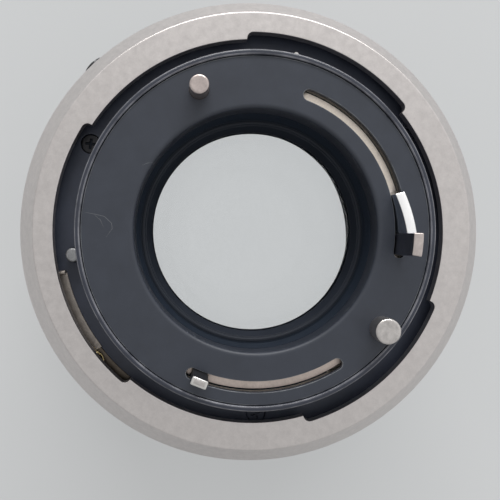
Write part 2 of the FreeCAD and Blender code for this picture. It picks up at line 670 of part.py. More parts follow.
def signal_lever_carrier():
    """Carrier ring of the signal lever, with its raised band and the tab down to the aperture ring."""
    body = ring(SIGNAL_IN_R, SIGNAL_OUT_R, SIGNAL_BOTTOM, SIGNAL_TOP)
    band = sector(SIGNAL_IN_R, CYLINDER_IN_R - SIGNAL_BAND_GAP, SIGNAL_BOTTOM, CARRIER_TOP, *SIGNAL_BAND)
    half = math.degrees(TAB_WIDTH / 2 / MOUNT_IN_R)
    start = TAB_ANGLE - half
    end = TAB_ANGLE + half
    turn_top = FLANGE_BOTTOM - GAP
    turn_bottom = turn_top - TAB_STEP
    inner = SIGNAL_OUT_R - TAB_THICKNESS
    outer = MOUNT_IN_R - GAP
    drop = sector(inner, SIGNAL_OUT_R - TAB_INSET, turn_bottom, SIGNAL_TOP, start, end)
    step = sector(inner, outer, turn_bottom, turn_top, start, end)
    low = COUPLING_Z - COUPLING_PIN_R - TAB_REACH
    tab = sector(outer - TAB_THICKNESS, outer, low, turn_top, start, end)
    body = body.fuse([band, drop, step, tab]).removeSplitter()
    half_fork = COUPLING_PIN_R + PIN_RUN
    fork = Part.makeBox(6 * OVER, 2 * half_fork, COUPLING_Z - low + OVER)
    fork.translate(FreeCAD.Vector(-3 * OVER, -half_fork, 0))
    fork.rotate(FreeCAD.Vector(0, 0, 0), FreeCAD.Vector(0, 0, 1), TAB_ANGLE)
    fork.translate(point(outer, TAB_ANGLE, low - OVER))
    eye = radial_bar(half_fork, outer - 3 * OVER, outer + 3 * OVER, TAB_ANGLE, COUPLING_Z)
    return body.cut([fork, eye])


def aperture_signal_lever():
    """Square post that tells the camera which aperture is set."""
    post_box = Part.makeBox(SIGNAL_THICKNESS, SIGNAL_WIDTH, PLATE_TOP + SIGNAL_RISE - CARRIER_TOP)
    post_box.translate(FreeCAD.Vector(-SIGNAL_THICKNESS / 2, -SIGNAL_WIDTH / 2, 0))
    tops = [edge for edge in post_box.Edges if edge.BoundBox.ZMin > OVER]
    post_box = post_box.makeChamfer(SIGNAL_CHAMFER, tops)
    post_box.rotate(FreeCAD.Vector(0, 0, 0), FreeCAD.Vector(0, 0, 1), SIGNAL_ANGLE)
    post_box.translate(point(SIGNAL_LEVER_R, SIGNAL_ANGLE, CARRIER_TOP))
    return post_box


def automatic_lever_carrier():
    """Carrier ring of the automatic lever, with its band in the slot and the arm into the iris fork."""
    inner = BEARING_R + RUN
    body = ring(inner, inner + CARRIER_WEB, CARRIER_BOTTOM, CARRIER_TOP)
    band = sector(inner, BAND_R, CARRIER_BOTTOM, CARRIER_TOP, *AUTO_BAND)
    half = math.degrees(ARM_WIDTH / 2 / ARM_R)
    arm = sector(ARM_R - ARM_THICKNESS / 2, ARM_R + ARM_THICKNESS / 2, CARRIER_BOTTOM - ARM_LENGTH,
                 CARRIER_TOP, ARM_ANGLE - half, ARM_ANGLE + half)
    return body.fuse([band, arm]).removeSplitter()


def automatic_aperture_lever():
    """Fin-shaped lever that the camera pushes: a ramp, then a taller foot."""
    inner = AUTO_SLOT_R - FIN_THICKNESS / 2
    outer = AUTO_SLOT_R + FIN_THICKNESS / 2
    body = sector(inner, outer, CARRIER_TOP, PLATE_TOP + FOOT_HIGH, FOOT_END, FIN_START)
    middle = (FOOT_END + FIN_START) / 2

    def across(angle):
        return outer * math.sin(math.radians(angle - middle))

    past_u = across(FIN_START) + OVER
    past_z = PLATE_TOP + FOOT_HIGH + OVER
    ramp = [(across(FOOT_START), FIN_HIGH + FIN_RISE), (across(FIN_TOP), FIN_HIGH), (past_u, FIN_LOW)]
    corners = [FreeCAD.Vector(0, u, PLATE_TOP + z) for u, z in ramp]
    corners.append(FreeCAD.Vector(0, past_u, past_z))
    corners.append(FreeCAD.Vector(0, across(FOOT_START), past_z))
    corners.append(corners[0])
    above = Part.Face(Part.makePolygon(corners)).extrude(FreeCAD.Vector(2 * outer, 0, 0))
    above.rotate(FreeCAD.Vector(0, 0, 0), FreeCAD.Vector(0, 0, 1), middle)
    return body.cut(above)


def aperture_ring():
    """Ring with a scale band in front and a ribbed band behind."""
    low = APERTURE_START
    high = APERTURE_END
    split = low + APERTURE_BAND
    inner = APERTURE_BEARING_R + RUN
    outer = RIB_R
    scale_r = FOCUS_R - SCALE_STEP
    body = turned([
        (inner, low), (scale_r, low), (scale_r, split - BAND_SLOPE), (outer, split),
        (outer, high - CHAMFER), (outer - CHAMFER, high), (inner, high)])
    rib_low = split + SCALE_STEP
    rib_high = high + OVER
    body = fluted(body, APERTURE_RIBS, outer, APERTURE_RIB_DEPTH, rib_low, rib_high, APERTURE_RIB_SHARE)
    pad = radial_bar(BUTTON_R + BUTTON_PAD, inner + OVER, outer, BUTTON_ANGLE, BUTTON_Z)
    pad = pad.common(ring(inner, outer, split, high - RING_GAP))
    hole = radial_bar(BUTTON_R + PIN_RUN, inner - OVER, outer + OVER, BUTTON_ANGLE, BUTTON_Z)
    seat = radial_bar(COUPLING_PIN_R + FIT, inner - OVER, inner + COUPLING_SEAT, TAB_ANGLE, COUPLING_Z)
    return body.fuse(pad).cut([hole, seat])


def aperture_coupling_pin():
    inner = MOUNT_IN_R - GAP - TAB_THICKNESS
    outer = APERTURE_BEARING_R + RUN + COUPLING_SEAT - PIN_RUN
    return radial_bar(COUPLING_PIN_R, inner, outer, TAB_ANGLE, COUPLING_Z)


def lock_button():
    """Domed push button in the aperture ring."""
    inner = APERTURE_BEARING_R + BUTTON_TRAVEL + GAP
    outer = RIB_R + BUTTON_REACH
    round_in = 0.25 * BUTTON_ROUND
    button = turned([
        (0, inner), (BUTTON_R, inner), (BUTTON_R, outer - BUTTON_ROUND),
        (BUTTON_R - round_in, outer - round_in),
        (BUTTON_R - BUTTON_ROUND, outer), (0, outer)])
    button.rotate(FreeCAD.Vector(0, 0, 0), FreeCAD.Vector(0, 1, 0), 90)
    button.rotate(FreeCAD.Vector(0, 0, 0), FreeCAD.Vector(0, 0, 1), BUTTON_ANGLE)
    button.translate(FreeCAD.Vector(0, 0, BUTTON_Z))
    return button


def click_ball():
    """Detent ball, drawn at the level where it runs between two stops."""
    reach = APERTURE_BEARING_R - CLICK_BALL_R
    return Part.makeSphere(CLICK_BALL_R, point(reach, CLICK_ANGLE, COUPLING_Z))


def click_spring():
    """Leaf against the barrel's inside with a plunger that carries the ball."""
    inner = MOUNT_IN_R - CLICK_LEAF
    half = CLICK_BALL_R - PIN_RUN
    leaf = sector(inner, MOUNT_IN_R - FIT, COUPLING_Z - half, COUPLING_Z + half,
                  CLICK_ANGLE - CLICK_LEAF_ARC, CLICK_ANGLE + CLICK_LEAF_END)
    reach = APERTURE_BEARING_R - 2 * CLICK_BALL_R - FIT
    return leaf.fuse(radial_bar(half - PIN_RUN, inner + FIT, reach, CLICK_ANGLE, COUPLING_Z))


def depth_scale_ring():
    outer = FOCUS_R - SCALE_STEP / 2
    inner = SEAT_R + FIT
    return turned([
        (inner, DEPTH_START), (outer, DEPTH_START), (outer, DEPTH_END - CHAMFER),
        (outer - CHAMFER, DEPTH_END), (inner, DEPTH_END)])


def guide_keys():
    """Two keys that stop the front barrel from turning."""
    half = KEY_WIDTH / 2
    keys = []
    for angle in (0.0, 180.0):
        keys.append(sector(BARREL_R - KEY_DEPTH, MOUNT_IN_R - FIT, KEY_START, KEY_START + KEY_LENGTH,
                           angle - half, angle + half))
    return Part.makeCompound(keys)


def focus_ring():
    """Outer focusing ring: a lip over the front skirt, a web, and a bearing on the mount barrel."""
    web_end = FOCUS_WEB_START + FOCUS_WEB
    inner = MOUNT_R + RUN
    web_r = MOUNT_R - SLEEVE_STEP
    return turned([
        (FOCUS_IN_R, FOCUS_START), (FOCUS_R - CHAMFER, FOCUS_START), (FOCUS_R, FOCUS_START + CHAMFER),
        (FOCUS_R, FOCUS_END - CHAMFER), (FOCUS_R - CHAMFER, FOCUS_END), (inner, FOCUS_END),
        (inner, web_end), (web_r, web_end), (web_r, FOCUS_WEB_START), (FOCUS_IN_R, FOCUS_WEB_START)])


def focus_grip():
    """Rubber sleeve with rows of raised blocks."""
    body = ring(FOCUS_R + FIT, GRIP_R, GRIP_START, GRIP_END)
    half = GRIP_GROOVE / 2
    cuts = []
    for index in range(GRIP_RIBS):
        groove = Part.makeBox(GRIP_DEPTH + OVER, GRIP_GROOVE, GRIP_END - GRIP_START - 2 * GRIP_BORDER)
        groove.translate(FreeCAD.Vector(GRIP_R - GRIP_DEPTH, -half, GRIP_START + GRIP_BORDER))
        groove.rotate(FreeCAD.Vector(0, 0, 0), FreeCAD.Vector(0, 0, 1), index * 360.0 / GRIP_RIBS)
        cuts.append(groove)
    row = (GRIP_END - GRIP_START) / GRIP_ROWS
    for index in range(1, GRIP_ROWS):
        middle = GRIP_START + index * row
        cuts.append(ring(GRIP_R - GRIP_DEPTH, GRIP_R + OVER, middle - half / 2, middle + half / 2))
    return body.cut(cuts)


def helicoid_sleeve():
    """Inner sleeve of the focusing ring, which carries the helicoid thread."""
    web_end = FOCUS_WEB_START + FOCUS_WEB
    outer = MOUNT_R - SLEEVE_STEP - FIT
    return turned([
        (SLEEVE_IN_R, FOCUS_WEB_START), (outer, FOCUS_WEB_START), (outer, web_end - GAP),
        (SLEEVE_R, web_end - GAP), (SLEEVE_R, SLEEVE_END), (SLEEVE_IN_R, SLEEVE_END)])


def filter_ring():
    """Front ring: filter thread, name ring seat, hood groove with its entries, web and skirt."""
    web_end = FILTER_WEB_START + FILTER_WEB
    rim = SKIRT_R + HOOD_RIM
    groove = SKIRT_R - HOOD_GROOVE_DEPTH
    body = turned([
        (FILTER_R, 0), (rim, 0), (rim, HOOD_RIM_LENGTH), (groove, HOOD_RIM_LENGTH),
        (groove, HOOD_RIM_LENGTH + HOOD_GROOVE_LENGTH), (SKIRT_R, HOOD_RIM_LENGTH + HOOD_GROOVE_LENGTH),
        (SKIRT_R, SKIRT_LENGTH), (SKIRT_INSIDE_R, SKIRT_LENGTH), (SKIRT_INSIDE_R, web_end),
        (BARREL_BORE_R, web_end), (BARREL_BORE_R, FILTER_WEB_START), (NAME_SEAT_R, FILTER_WEB_START),
        (NAME_SEAT_R, FILTER_DEPTH), (FILTER_R, FILTER_DEPTH)])
    cuts = []
    for index in range(HOOD_ENTRIES):
        start = INDEX_ANGLE + index * 360.0 / HOOD_ENTRIES - HOOD_ENTRY_ANGLE / 2
        end = start + HOOD_ENTRY_ANGLE
        cuts.append(sector(groove, rim + OVER, -OVER, HOOD_RIM_LENGTH + CHAMFER, start, end))
    return body.cut(cuts)


def name_ring():
    """Blank dished ring in front of the glass."""
    seat = FILTER_WEB_START - FIT
    inner = SEMI[1] + NAME_RING_STEP
    deep = EDGE_1 - FRONT_CELL_LIP - CEMENT
    outer = NAME_SEAT_R - FIT
    turn = BARREL_BORE_R - GAP
    wall = NAME_RING_WALL
    return turned([
        (outer, seat - wall), (outer, seat), (turn, seat), (inner + wall, deep),
        (inner, deep), (inner, deep - wall), (turn - NAME_RING_TURN, seat - wall)])


def front_barrel():
    """Inner helicoid barrel with the web that holds the iris and the front cell."""
    body = turned([
        (BARREL_BORE_R, BARREL_START), (BARREL_R, BARREL_START), (BARREL_R, BARREL_END),
        (BARREL_BORE_R, BARREL_END), (BARREL_BORE_R, IRIS_BOTTOM),
        (NOSE_R, IRIS_BOTTOM), (NOSE_R, WEB_BOTTOM), (BARREL_BORE_R, WEB_BOTTOM)])
    half = KEY_WIDTH / 2 + KEY_PLAY
    cuts = []
    for angle in (0.0, 180.0):
        cuts.append(sector(BARREL_R - KEY_DEPTH - KEY_PLAY, BARREL_R + OVER, SLEEVE_END, BARREL_END + OVER,
                           angle - half, angle + half))
    return body.cut(cuts)


def front_cell():
    """Stepped cell for the front element and the front doublet."""
    top = EDGE_1 - FRONT_CELL_LIP
    step_1 = FRONT_Z[2] + sag(FRONT_CURVE[2], SEMI[2])
    step_2 = REAR_Z[2] + sag(REAR_CURVE[2], SEMI[2])
    nose = NOSE_R - CELL_PLAY
    nose_end = IRIS_BOTTOM - PIN_RUN
    return turned([
        (SEMI[1] + FIT, top), (HOUSING_R, top), (HOUSING_R, WEB_BOTTOM),
        (nose, WEB_BOTTOM), (nose, nose_end), (SEMI[3] - CELL_LIP_WIDTH, nose_end),
        (SEMI[3] - CELL_LIP_WIDTH, EDGE_3 + CEMENT), (SEMI[3] + FIT, EDGE_3 + CEMENT),
        (SEMI[3] + FIT, step_2 + CEMENT), (SEMI[2] + FIT, step_2 + CEMENT),
        (SEMI[2] + FIT, step_1), (SEMI[1] + FIT, step_1)])


def front_retaining_ring():
    inner = SEMI[1] - CELL_LIP_WIDTH
    edge = FRONT_Z[1] + sag(FRONT_CURVE[1], inner)
    return ring(inner, SEMI[1], edge - FRONT_RETAINER_LENGTH, edge - CEMENT)


def front_spacer():
    """Spacer between the front element and the doublet."""
    inner = SEMI[2] - GAP
    clear = SEMI[2] + GAP
    top = FRONT_Z[2] + sag(FRONT_CURVE[2], inner) - CEMENT
    low = REAR_Z[1] + sag(REAR_CURVE[1], SEMI[1]) + CEMENT
    return turned([
        (clear, low), (SEMI[1], low), (SEMI[1], top), (inner, top), (inner, top - SPACER_LIP),
        (clear, top - SPACER_LIP - SPACER_SLOPE)])


def rear_cell():
    """Cell for the rear doublet and the rear element, with the flange that closes the iris."""
    bottom = REAR_CELL_BOTTOM
    step_1 = REAR_Z[4] + sag(REAR_CURVE[4], SEMI[4]) + CEMENT
    step_2 = SPACER_START - CEMENT
    top = REAR_CELL_TOP
    lip_top = bottom + IRIS_COVER
    thread = SEMI[6] + RETAINER_STEP + FIT
    ledge = EDGE_6 + LEDGE_PLAY
    body = turned([
        (SEMI[4] - CELL_LIP_WIDTH / 2, bottom), (HOUSING_R, bottom), (HOUSING_R, lip_top),
        (REAR_CELL_R, lip_top), (REAR_CELL_R, top), (thread, top), (thread, ledge),
        (SEMI[6] + FIT, ledge), (SEMI[6] + FIT, step_2), (SEMI[5] + FIT, step_2),
        (SEMI[5] + FIT, step_1), (SEMI[4] + FIT, step_1), (SEMI[4] + FIT, EDGE_4 - CEMENT),
        (SEMI[4] - CELL_LIP_WIDTH / 2, EDGE_4 - CEMENT)])
    reach = math.degrees((ARM_WIDTH / 2 + PRONG_WIDTH + GAP) / ARM_R)
    half = DRIVE_MARGIN + FORK_PLAY
    window = sector(ARM_R - half, ARM_R + half, bottom - OVER, lip_top + OVER,
                    ARM_ANGLE - reach, ARM_ANGLE + AUTO_TRAVEL + reach)
    return body.cut(window)


def rear_spacer():
    """Conical spacer that stands on the doublet's rim and carries the rear element."""
    mouth = SEMI[6] - REAR_SPACER_MOUTH
    high = FRONT_Z[6] + sag(FRONT_CURVE[6], mouth) - CEMENT
    return turned([
        (SPACER_IN_R, SPACER_START), (SEMI[6], SPACER_START), (SEMI[6], high), (mouth, high)])


def rear_retaining_ring():
    """Threaded ring with a conical mouth that holds the rear element."""
    inner = SEMI[6] - RETAINER_LIP
    outer = SEMI[6] + RETAINER_STEP
    low = REAR_Z[6] + sag(REAR_CURVE[6], inner) + CEMENT
    step = EDGE_6 + 2 * LEDGE_PLAY + CEMENT
    return turned([
        (inner, low), (SEMI[6], low), (SEMI[6], step), (outer, step),
        (outer, REAR_CELL_TOP), (outer - CHAMFER, REAR_CELL_TOP), (inner, low + CHAMFER)])


def iris_housing():
    """Floor with the blade pivots, a ledge for the drive ring, and the outer wall."""
    inner = IRIS_OPEN_R + IRIS_EDGE
    ledge_r = PIVOT_R + PIVOT_MARGIN + GAP
    ledge = DRIVE_BOTTOM - PIN_RUN
    body = turned([
        (inner, IRIS_BOTTOM), (HOUSING_R, IRIS_BOTTOM), (HOUSING_R, REAR_CELL_BOTTOM),
        (DRIVE_R + RUN, REAR_CELL_BOTTOM), (DRIVE_R + RUN, ledge), (ledge_r, ledge),
        (ledge_r, BLADE_FLOOR), (inner, BLADE_FLOOR)])
    holes = []
    for index in range(BLADES):
        angle = pivot_angle(index)
        holes.append(post(IRIS_PIN_R + PIN_RUN, IRIS_BOTTOM - OVER, BLADE_FLOOR + OVER, PIVOT_R, angle))
    return body.cut(holes)


def pivot_angle(index):
    """Angle of a blade's pivot."""
    return FIRST_PIVOT + index * 360.0 / BLADES


def drive_pin_at(turn):
    """Place of the first blade's drive pin, seen from the drive ring, when the blade has turned."""
    pivot = point(PIVOT_R, FIRST_PIVOT)
    rest = point(PIVOT_R, FIRST_PIVOT + DRIVE_PIN_ANGLE)
    place = FreeCAD.Rotation(FreeCAD.Vector(0, 0, 1), turn).multVec(rest - pivot) + pivot
    return FreeCAD.Rotation(FreeCAD.Vector(0, 0, 1), -turn / BLADE_RATIO).multVec(place)


def cam_slot():
    """Slot that the drive pin follows, worked out from the turn of the blade."""
    steps = 12
    half = IRIS_PIN_R + PIN_RUN
    path = [drive_pin_at(BLADE_TURN * index / steps) for index in range(steps + 1)]
    left = []
    right = []
    for index, place in enumerate(path):
        before = path[max(index - 1, 0)]
        after = path[min(index + 1, steps)]
        along = (after - before).normalize()
        side = FreeCAD.Vector(-along.y, along.x, 0) * half
        left.append(place + side)
        right.append(place - side)
    right.reverse()
    edges = []
    for points in (left, right):
        curve = Part.BSplineCurve()
        curve.interpolate(points)
        edges.append(curve.toShape())
    start_along = (path[0] - path[1]).normalize() * half
    end_along = (path[-1] - path[-2]).normalize() * half
    edges.append(Part.Arc(left[-1], path[-1] + end_along, right[0]).toShape())
    edges.append(Part.Arc(right[-1], path[0] + start_along, left[0]).toShape())
    face = Part.Face(Part.Wire(Part.__sortEdges__(edges)))
    face.translate(FreeCAD.Vector(0, 0, DRIVE_BOTTOM - OVER))
    return face.extrude(FreeCAD.Vector(0, 0, DRIVE_THICKNESS + 2 * OVER))


def iris_drive_ring():
    """Cam ring that turns the blades, with a tall fork for the automatic lever's arm."""
    body = ring(IRIS_OPEN_R + 2 * IRIS_EDGE, DRIVE_R, DRIVE_BOTTOM, DRIVE_TOP)
    slot = cam_slot()
    slots = []
    for index in range(BLADES):
        copy = slot.copy()
        copy.rotate(FreeCAD.Vector(0, 0, 0), FreeCAD.Vector(0, 0, 1), index * 360.0 / BLADES)
        slots.append(copy)
    body = body.cut(slots)
    prongs = []
    near = math.degrees((ARM_WIDTH / 2 + PIN_RUN) / ARM_R)
    far = near + math.degrees(PRONG_WIDTH / ARM_R)
    inner = ARM_R - DRIVE_MARGIN + FORK_PLAY
    outer = ARM_R + DRIVE_MARGIN - FORK_PLAY
    for start, end in ((near, far), (-far, -near)):
        prongs.append(sector(inner, outer, DRIVE_BOTTOM, DRIVE_TOP + PRONG_LENGTH,
                             ARM_ANGLE + start, ARM_ANGLE + end))
    return body.fuse(prongs).removeSplitter()


def iris_blade(index):
    """Crescent blade with a pivot pin below and a drive pin above, on its own level of the stack."""
    back = -BLADE_BACK
    tab = DRIVE_PIN_ANGLE + BLADE_TAB
    tip = BLADE_SPAN
    outer_tab = PIVOT_R + PIVOT_MARGIN
    pivot_at = point(PIVOT_R, 0)
    round_middle = pivot_at + point(PIVOT_MARGIN, -45)
    round_end = pivot_at + point(PIVOT_MARGIN, -90)

    def arc(radius, start, end):
        middle = (start + end) / 2
        return Part.Arc(point(radius, start), point(radius, middle), point(radius, end)).toShape()

    edges = [
        arc(IRIS_OPEN_R, back, tip),
        Part.makeLine(point(IRIS_OPEN_R, tip), point(BAND_OUT_R, tip - BLADE_TIP)),
        arc(BAND_OUT_R, tip - BLADE_TIP, tab + BLADE_NECK),
        Part.makeLine(point(BAND_OUT_R, tab + BLADE_NECK), point(outer_tab, tab)),
        arc(outer_tab, tab, 0),
        Part.Arc(point(outer_tab, 0), round_middle, round_end).toShape(),
        Part.makeLine(round_end, point(IRIS_OPEN_R, back))]
    face = Part.Face(Part.Wire(edges))
    level = BLADE_FLOOR + PIN_RUN + index * BLADE_PITCH
    face.translate(FreeCAD.Vector(0, 0, level))
    blade = face.extrude(FreeCAD.Vector(0, 0, BLADE_THICKNESS))
    pivot = post(IRIS_PIN_R, IRIS_BOTTOM + PIN_RUN, level + BLADE_THICKNESS, PIVOT_R, 0)
    drive = post(IRIS_PIN_R, level, DRIVE_TOP - PIN_RUN, PIVOT_R, DRIVE_PIN_ANGLE)
    blade = blade.fuse([pivot, drive])
    blade.rotate(FreeCAD.Vector(0, 0, 0), FreeCAD.Vector(0, 0, 1), pivot_angle(index))
    return blade


def export(name, shape):
    """Write one piece to its own file."""
    if not shape.isValid():
        print("not valid:", name)
    shape.exportStep("parts/" + name + ".step")
    print(name, "solids", len(shape.Solids), "volume", round(shape.Volume, 1))


PIECES = {
    "rear_mount_housing": rear_mount_housing,
    "rear_cover_plate": rear_cover_plate,
    "lever_bearing_sleeve": lever_bearing_sleeve,
    "mount_barrel": mount_barrel,
    "depth_scale_ring": depth_scale_ring,
    "positioning_pin": positioning_pin,
    "full_aperture_pin": full_aperture_pin,
    "lock_spring_leaf": lock_spring_leaf,
    "mount_screws": mount_screws,
    "guide_keys": guide_keys,
    "click_ball": click_ball,
    "click_spring": click_spring,
    "breech_lock_ring": breech_lock_ring,
    "breech_keeper_ring": breech_keeper_ring,
    "aperture_ring": aperture_ring,
    "aperture_coupling_pin": aperture_coupling_pin,
    "lock_button": lock_button,
    "signal_lever_carrier": signal_lever_carrier,
    "aperture_signal_lever": aperture_signal_lever,
    "automatic_lever_carrier": automatic_lever_carrier,
    "automatic_aperture_lever": automatic_aperture_lever,
    "exposure_switch_pin": exposure_switch_pin,
    "ring_release_pin": ring_release_pin,
    "focus_ring": focus_ring,
    "focus_grip": focus_grip,
    "helicoid_sleeve": helicoid_sleeve,
    "filter_ring": filter_ring,
    "name_ring": name_ring,
    "front_barrel": front_barrel,
    "front_cell": front_cell,
    "front_retaining_ring": front_retaining_ring,
    "front_spacer": front_spacer,
    "rear_cell": rear_cell,
    "rear_spacer": rear_spacer,
    "rear_retaining_ring": rear_retaining_ring,
    "iris_housing": iris_housing,
    "iris_drive_ring": iris_drive_ring,
}

os.makedirs("parts", exist_ok=True)
for piece, make in PIECES.items():
    export(piece, make())
for number in sorted(SEMI):
    export("glass_element_%d" % number, element(number))
for blade_index in range(BLADES):
    export("iris_blade_%d" % (blade_index + 1), iris_blade(blade_index))
print("blade turn", round(BLADE_TURN, 3), "ratio", round(BLADE_RATIO, 5), "pivot radius", PIVOT_R)
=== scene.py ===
import math

import bmesh
import bpy
from mathutils import Matrix, Vector, geometry


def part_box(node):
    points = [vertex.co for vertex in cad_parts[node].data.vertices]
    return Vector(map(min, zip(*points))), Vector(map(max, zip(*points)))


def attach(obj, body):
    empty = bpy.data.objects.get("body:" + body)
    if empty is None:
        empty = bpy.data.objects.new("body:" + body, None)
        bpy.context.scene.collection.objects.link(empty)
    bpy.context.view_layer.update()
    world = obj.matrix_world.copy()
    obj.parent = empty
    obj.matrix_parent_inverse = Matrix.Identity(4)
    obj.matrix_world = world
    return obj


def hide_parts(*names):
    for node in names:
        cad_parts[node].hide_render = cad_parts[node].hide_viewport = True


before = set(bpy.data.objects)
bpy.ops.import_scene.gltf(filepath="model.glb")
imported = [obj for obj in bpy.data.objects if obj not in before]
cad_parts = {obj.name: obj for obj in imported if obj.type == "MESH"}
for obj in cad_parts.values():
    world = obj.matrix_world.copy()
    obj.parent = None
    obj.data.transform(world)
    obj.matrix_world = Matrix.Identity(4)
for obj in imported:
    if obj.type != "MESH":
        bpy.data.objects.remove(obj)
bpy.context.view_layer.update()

# Lengths are millimetres here and become metres when a mesh is made.
# Angles are degrees round the optical axis, seen from behind. The mounting index is at 270 degrees.
MM = 0.001
PHOTO_TURN = 81.5  # angle that points to the right in the photograph


def top(node):
    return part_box(node)[1].z / MM


def low(node):
    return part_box(node)[0].z / MM


def reach(node):
    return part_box(node)[1].x / MM


def seat(node):
    """Distance from the axis and angle of a small node's middle."""
    first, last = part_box(node)
    middle = (first + last) / 2 / MM
    return math.hypot(middle.x, middle.y), math.degrees(math.atan2(middle.y, middle.x)) % 360


# Heights and radii read from the frame
RIM_TOP = top("rear_mount_housing")
FLANGE_BOTTOM = low("rear_mount_housing")
PLATE_TOP = top("rear_cover_plate")
COLLAR_BOTTOM = low("rear_cover_plate")
PIN_TOP = top("exposure_switch_pin")
RING_TOP = top("breech_lock_ring")
RING_BOTTOM = low("breech_lock_ring")
RING_R = reach("breech_lock_ring")
CARRIER_TOP = top("automatic_lever_carrier")
FOOT_TOP = top("automatic_aperture_lever")
SIGNAL_TOP = top("aperture_signal_lever")
REAR_CELL_TOP = top("rear_cell")
FOCUS_R = reach("focus_ring")
FLANGE_R = reach("rear_mount_housing")

# Sizes of the real object
FLANGE_THICKNESS = 1.5
FLANGE = FLANGE_BOTTOM + FLANGE_THICKNESS
CYLINDER_R = 23.1
RIM_WIDTH = 0.7
LEDGE_WIDTH = 1.1
FOOT_RELIEF = 0.3
FOOT_RISE = 2.3
FOOT_EDGE = FLANGE + FOOT_RISE
PLATE_GAP = 0.06
PLATE_R = CYLINDER_R - RIM_WIDTH - PLATE_GAP
PLATE_THICKNESS = 0.8
PLATE_BOTTOM = PLATE_TOP - PLATE_THICKNESS
OPENING_R = 15.6
OPENING_ROUND = 0.55
SLOT_WIDTH = 1.45
AUTO_SLOT_R = 18.6
AUTO_SLOT = (70.5, 152.4)
SIGNAL_SLOT_R = 20.0
SIGNAL_SLOT = (325.0, 384.7)
LUG_R = 25.7
LUG_THICKNESS = 1.5
NOTCH_R = 26.7
NOTCH_CORNER = 0.9
SKIRT_IN_R = 29.0
BEVEL_WIDTH = 2.6
FACE_R = RING_R - BEVEL_WIDTH
BEVEL_DROP = 3.95
INDEX_ANGLE = 270.0
INDEX_NOTCH_HALF = 41.75
SIDE_NOTCH_HALF = 26.7
SIDE_NOTCH_OFF = 123.35
NOTCHES = ((INDEX_ANGLE, INDEX_NOTCH_HALF), (INDEX_ANGLE - SIDE_NOTCH_OFF, SIDE_NOTCH_HALF),
           (INDEX_ANGLE + SIDE_NOTCH_OFF, SIDE_NOTCH_HALF))
RING_FLUTES = 72
FLUTE_DEPTH = 0.35
FLUTE_END = 0.8
SWITCH_PIN_R = 1.24
SWITCH_PIN = seat("exposure_switch_pin")
FULL_PIN_R = 1.62
FULL_PIN = seat("full_aperture_pin")
POSITION_PIN_R = 0.95
POSITION_PIN = seat("positioning_pin")
RELEASE_PIN_R = 0.35
RELEASE_PIN = seat("ring_release_pin")
PIN_CHAMFER = 0.3
FIRST_SCREW = 232.9
SCREW_ANGLES = (FIRST_SCREW, FIRST_SCREW - 120, FIRST_SCREW + 120)
SCREW_AT = 25.3
SCREW_R = 1.3


def polar(radius, angle, z=0.0):
    turn = math.radians(angle)
    return Vector((radius * math.cos(turn), radius * math.sin(turn), z))


def smooth(value, start, end):
    """Smooth step from 0 at start to 1 at end."""
    share = min(1.0, max(0.0, (value - start) / (end - start)))
    return share * share * (3 - 2 * share)


# ---------------------------------------------------------------- materials

def shader(name):
    """A material with its node tree emptied down to the Principled shader, and a helper to add nodes."""
    material = bpy.data.materials.new(name)
    material.use_nodes = True
    tree = material.node_tree
    principled = next(n for n in tree.nodes if n.type == "BSDF_PRINCIPLED")

    def add(kind, inputs=None, **settings):
        node = tree.nodes.new(kind)
        for key, value in settings.items():
            setattr(node, key, value)
        for key, value in (inputs or {}).items():
            if isinstance(value, bpy.types.NodeSocket):
                tree.links.new(value, node.inputs[key])
            else:
                node.inputs[key].default_value = value
        return node

    return material, tree, principled, add


def ramp(add, source, stops):
    """Colour ramp from (place, colour) stops."""
    node = add("ShaderNodeValToRGB", {"Fac": source})
    elements = node.color_ramp.elements
    while len(elements) < len(stops):
        elements.new(0.5)
    for element, (place, colour) in zip(elements, stops):
        element.position = place
        element.color = (*colour, 1) if len(colour) == 3 else colour
    return node.outputs["Color"]


def multiplied(add, first, second):
    """Product of two colours."""
    node = add("ShaderNodeMix", {"Factor": 1.0, 6: first, 7: second}, data_type="RGBA",
               blend_type="MULTIPLY")
    return node.outputs[2]


def grey(value):
    return (value, value, value)


def scaled(colour, factor):
    return tuple(c * factor for c in colour)


def turned_height(add, position, pitch):
    """Height of fine lathe grooves round the optical axis, with noise that breaks them up."""
    split = add("ShaderNodeSeparateXYZ", {"Vector": position})
    flat = add("ShaderNodeCombineXYZ", {"X": split.outputs["X"], "Y": split.outputs["Y"]})
    radius = add("ShaderNodeVectorMath", {0: flat.outputs["Vector"]}, operation="LENGTH")
    along = add("ShaderNodeMath", {0: radius.outputs["Value"], 1: split.outputs["Z"]}, operation="ADD")
    lines = add("ShaderNodeCombineXYZ", {"X": along.outputs["Value"]})
    grooves = add("ShaderNodeTexNoise", {"Vector": lines.outputs["Vector"], "Scale": 1 / (pitch * MM),
                                         "Detail": 3.0, "Roughness": 0.6})
    return grooves.outputs["Fac"]


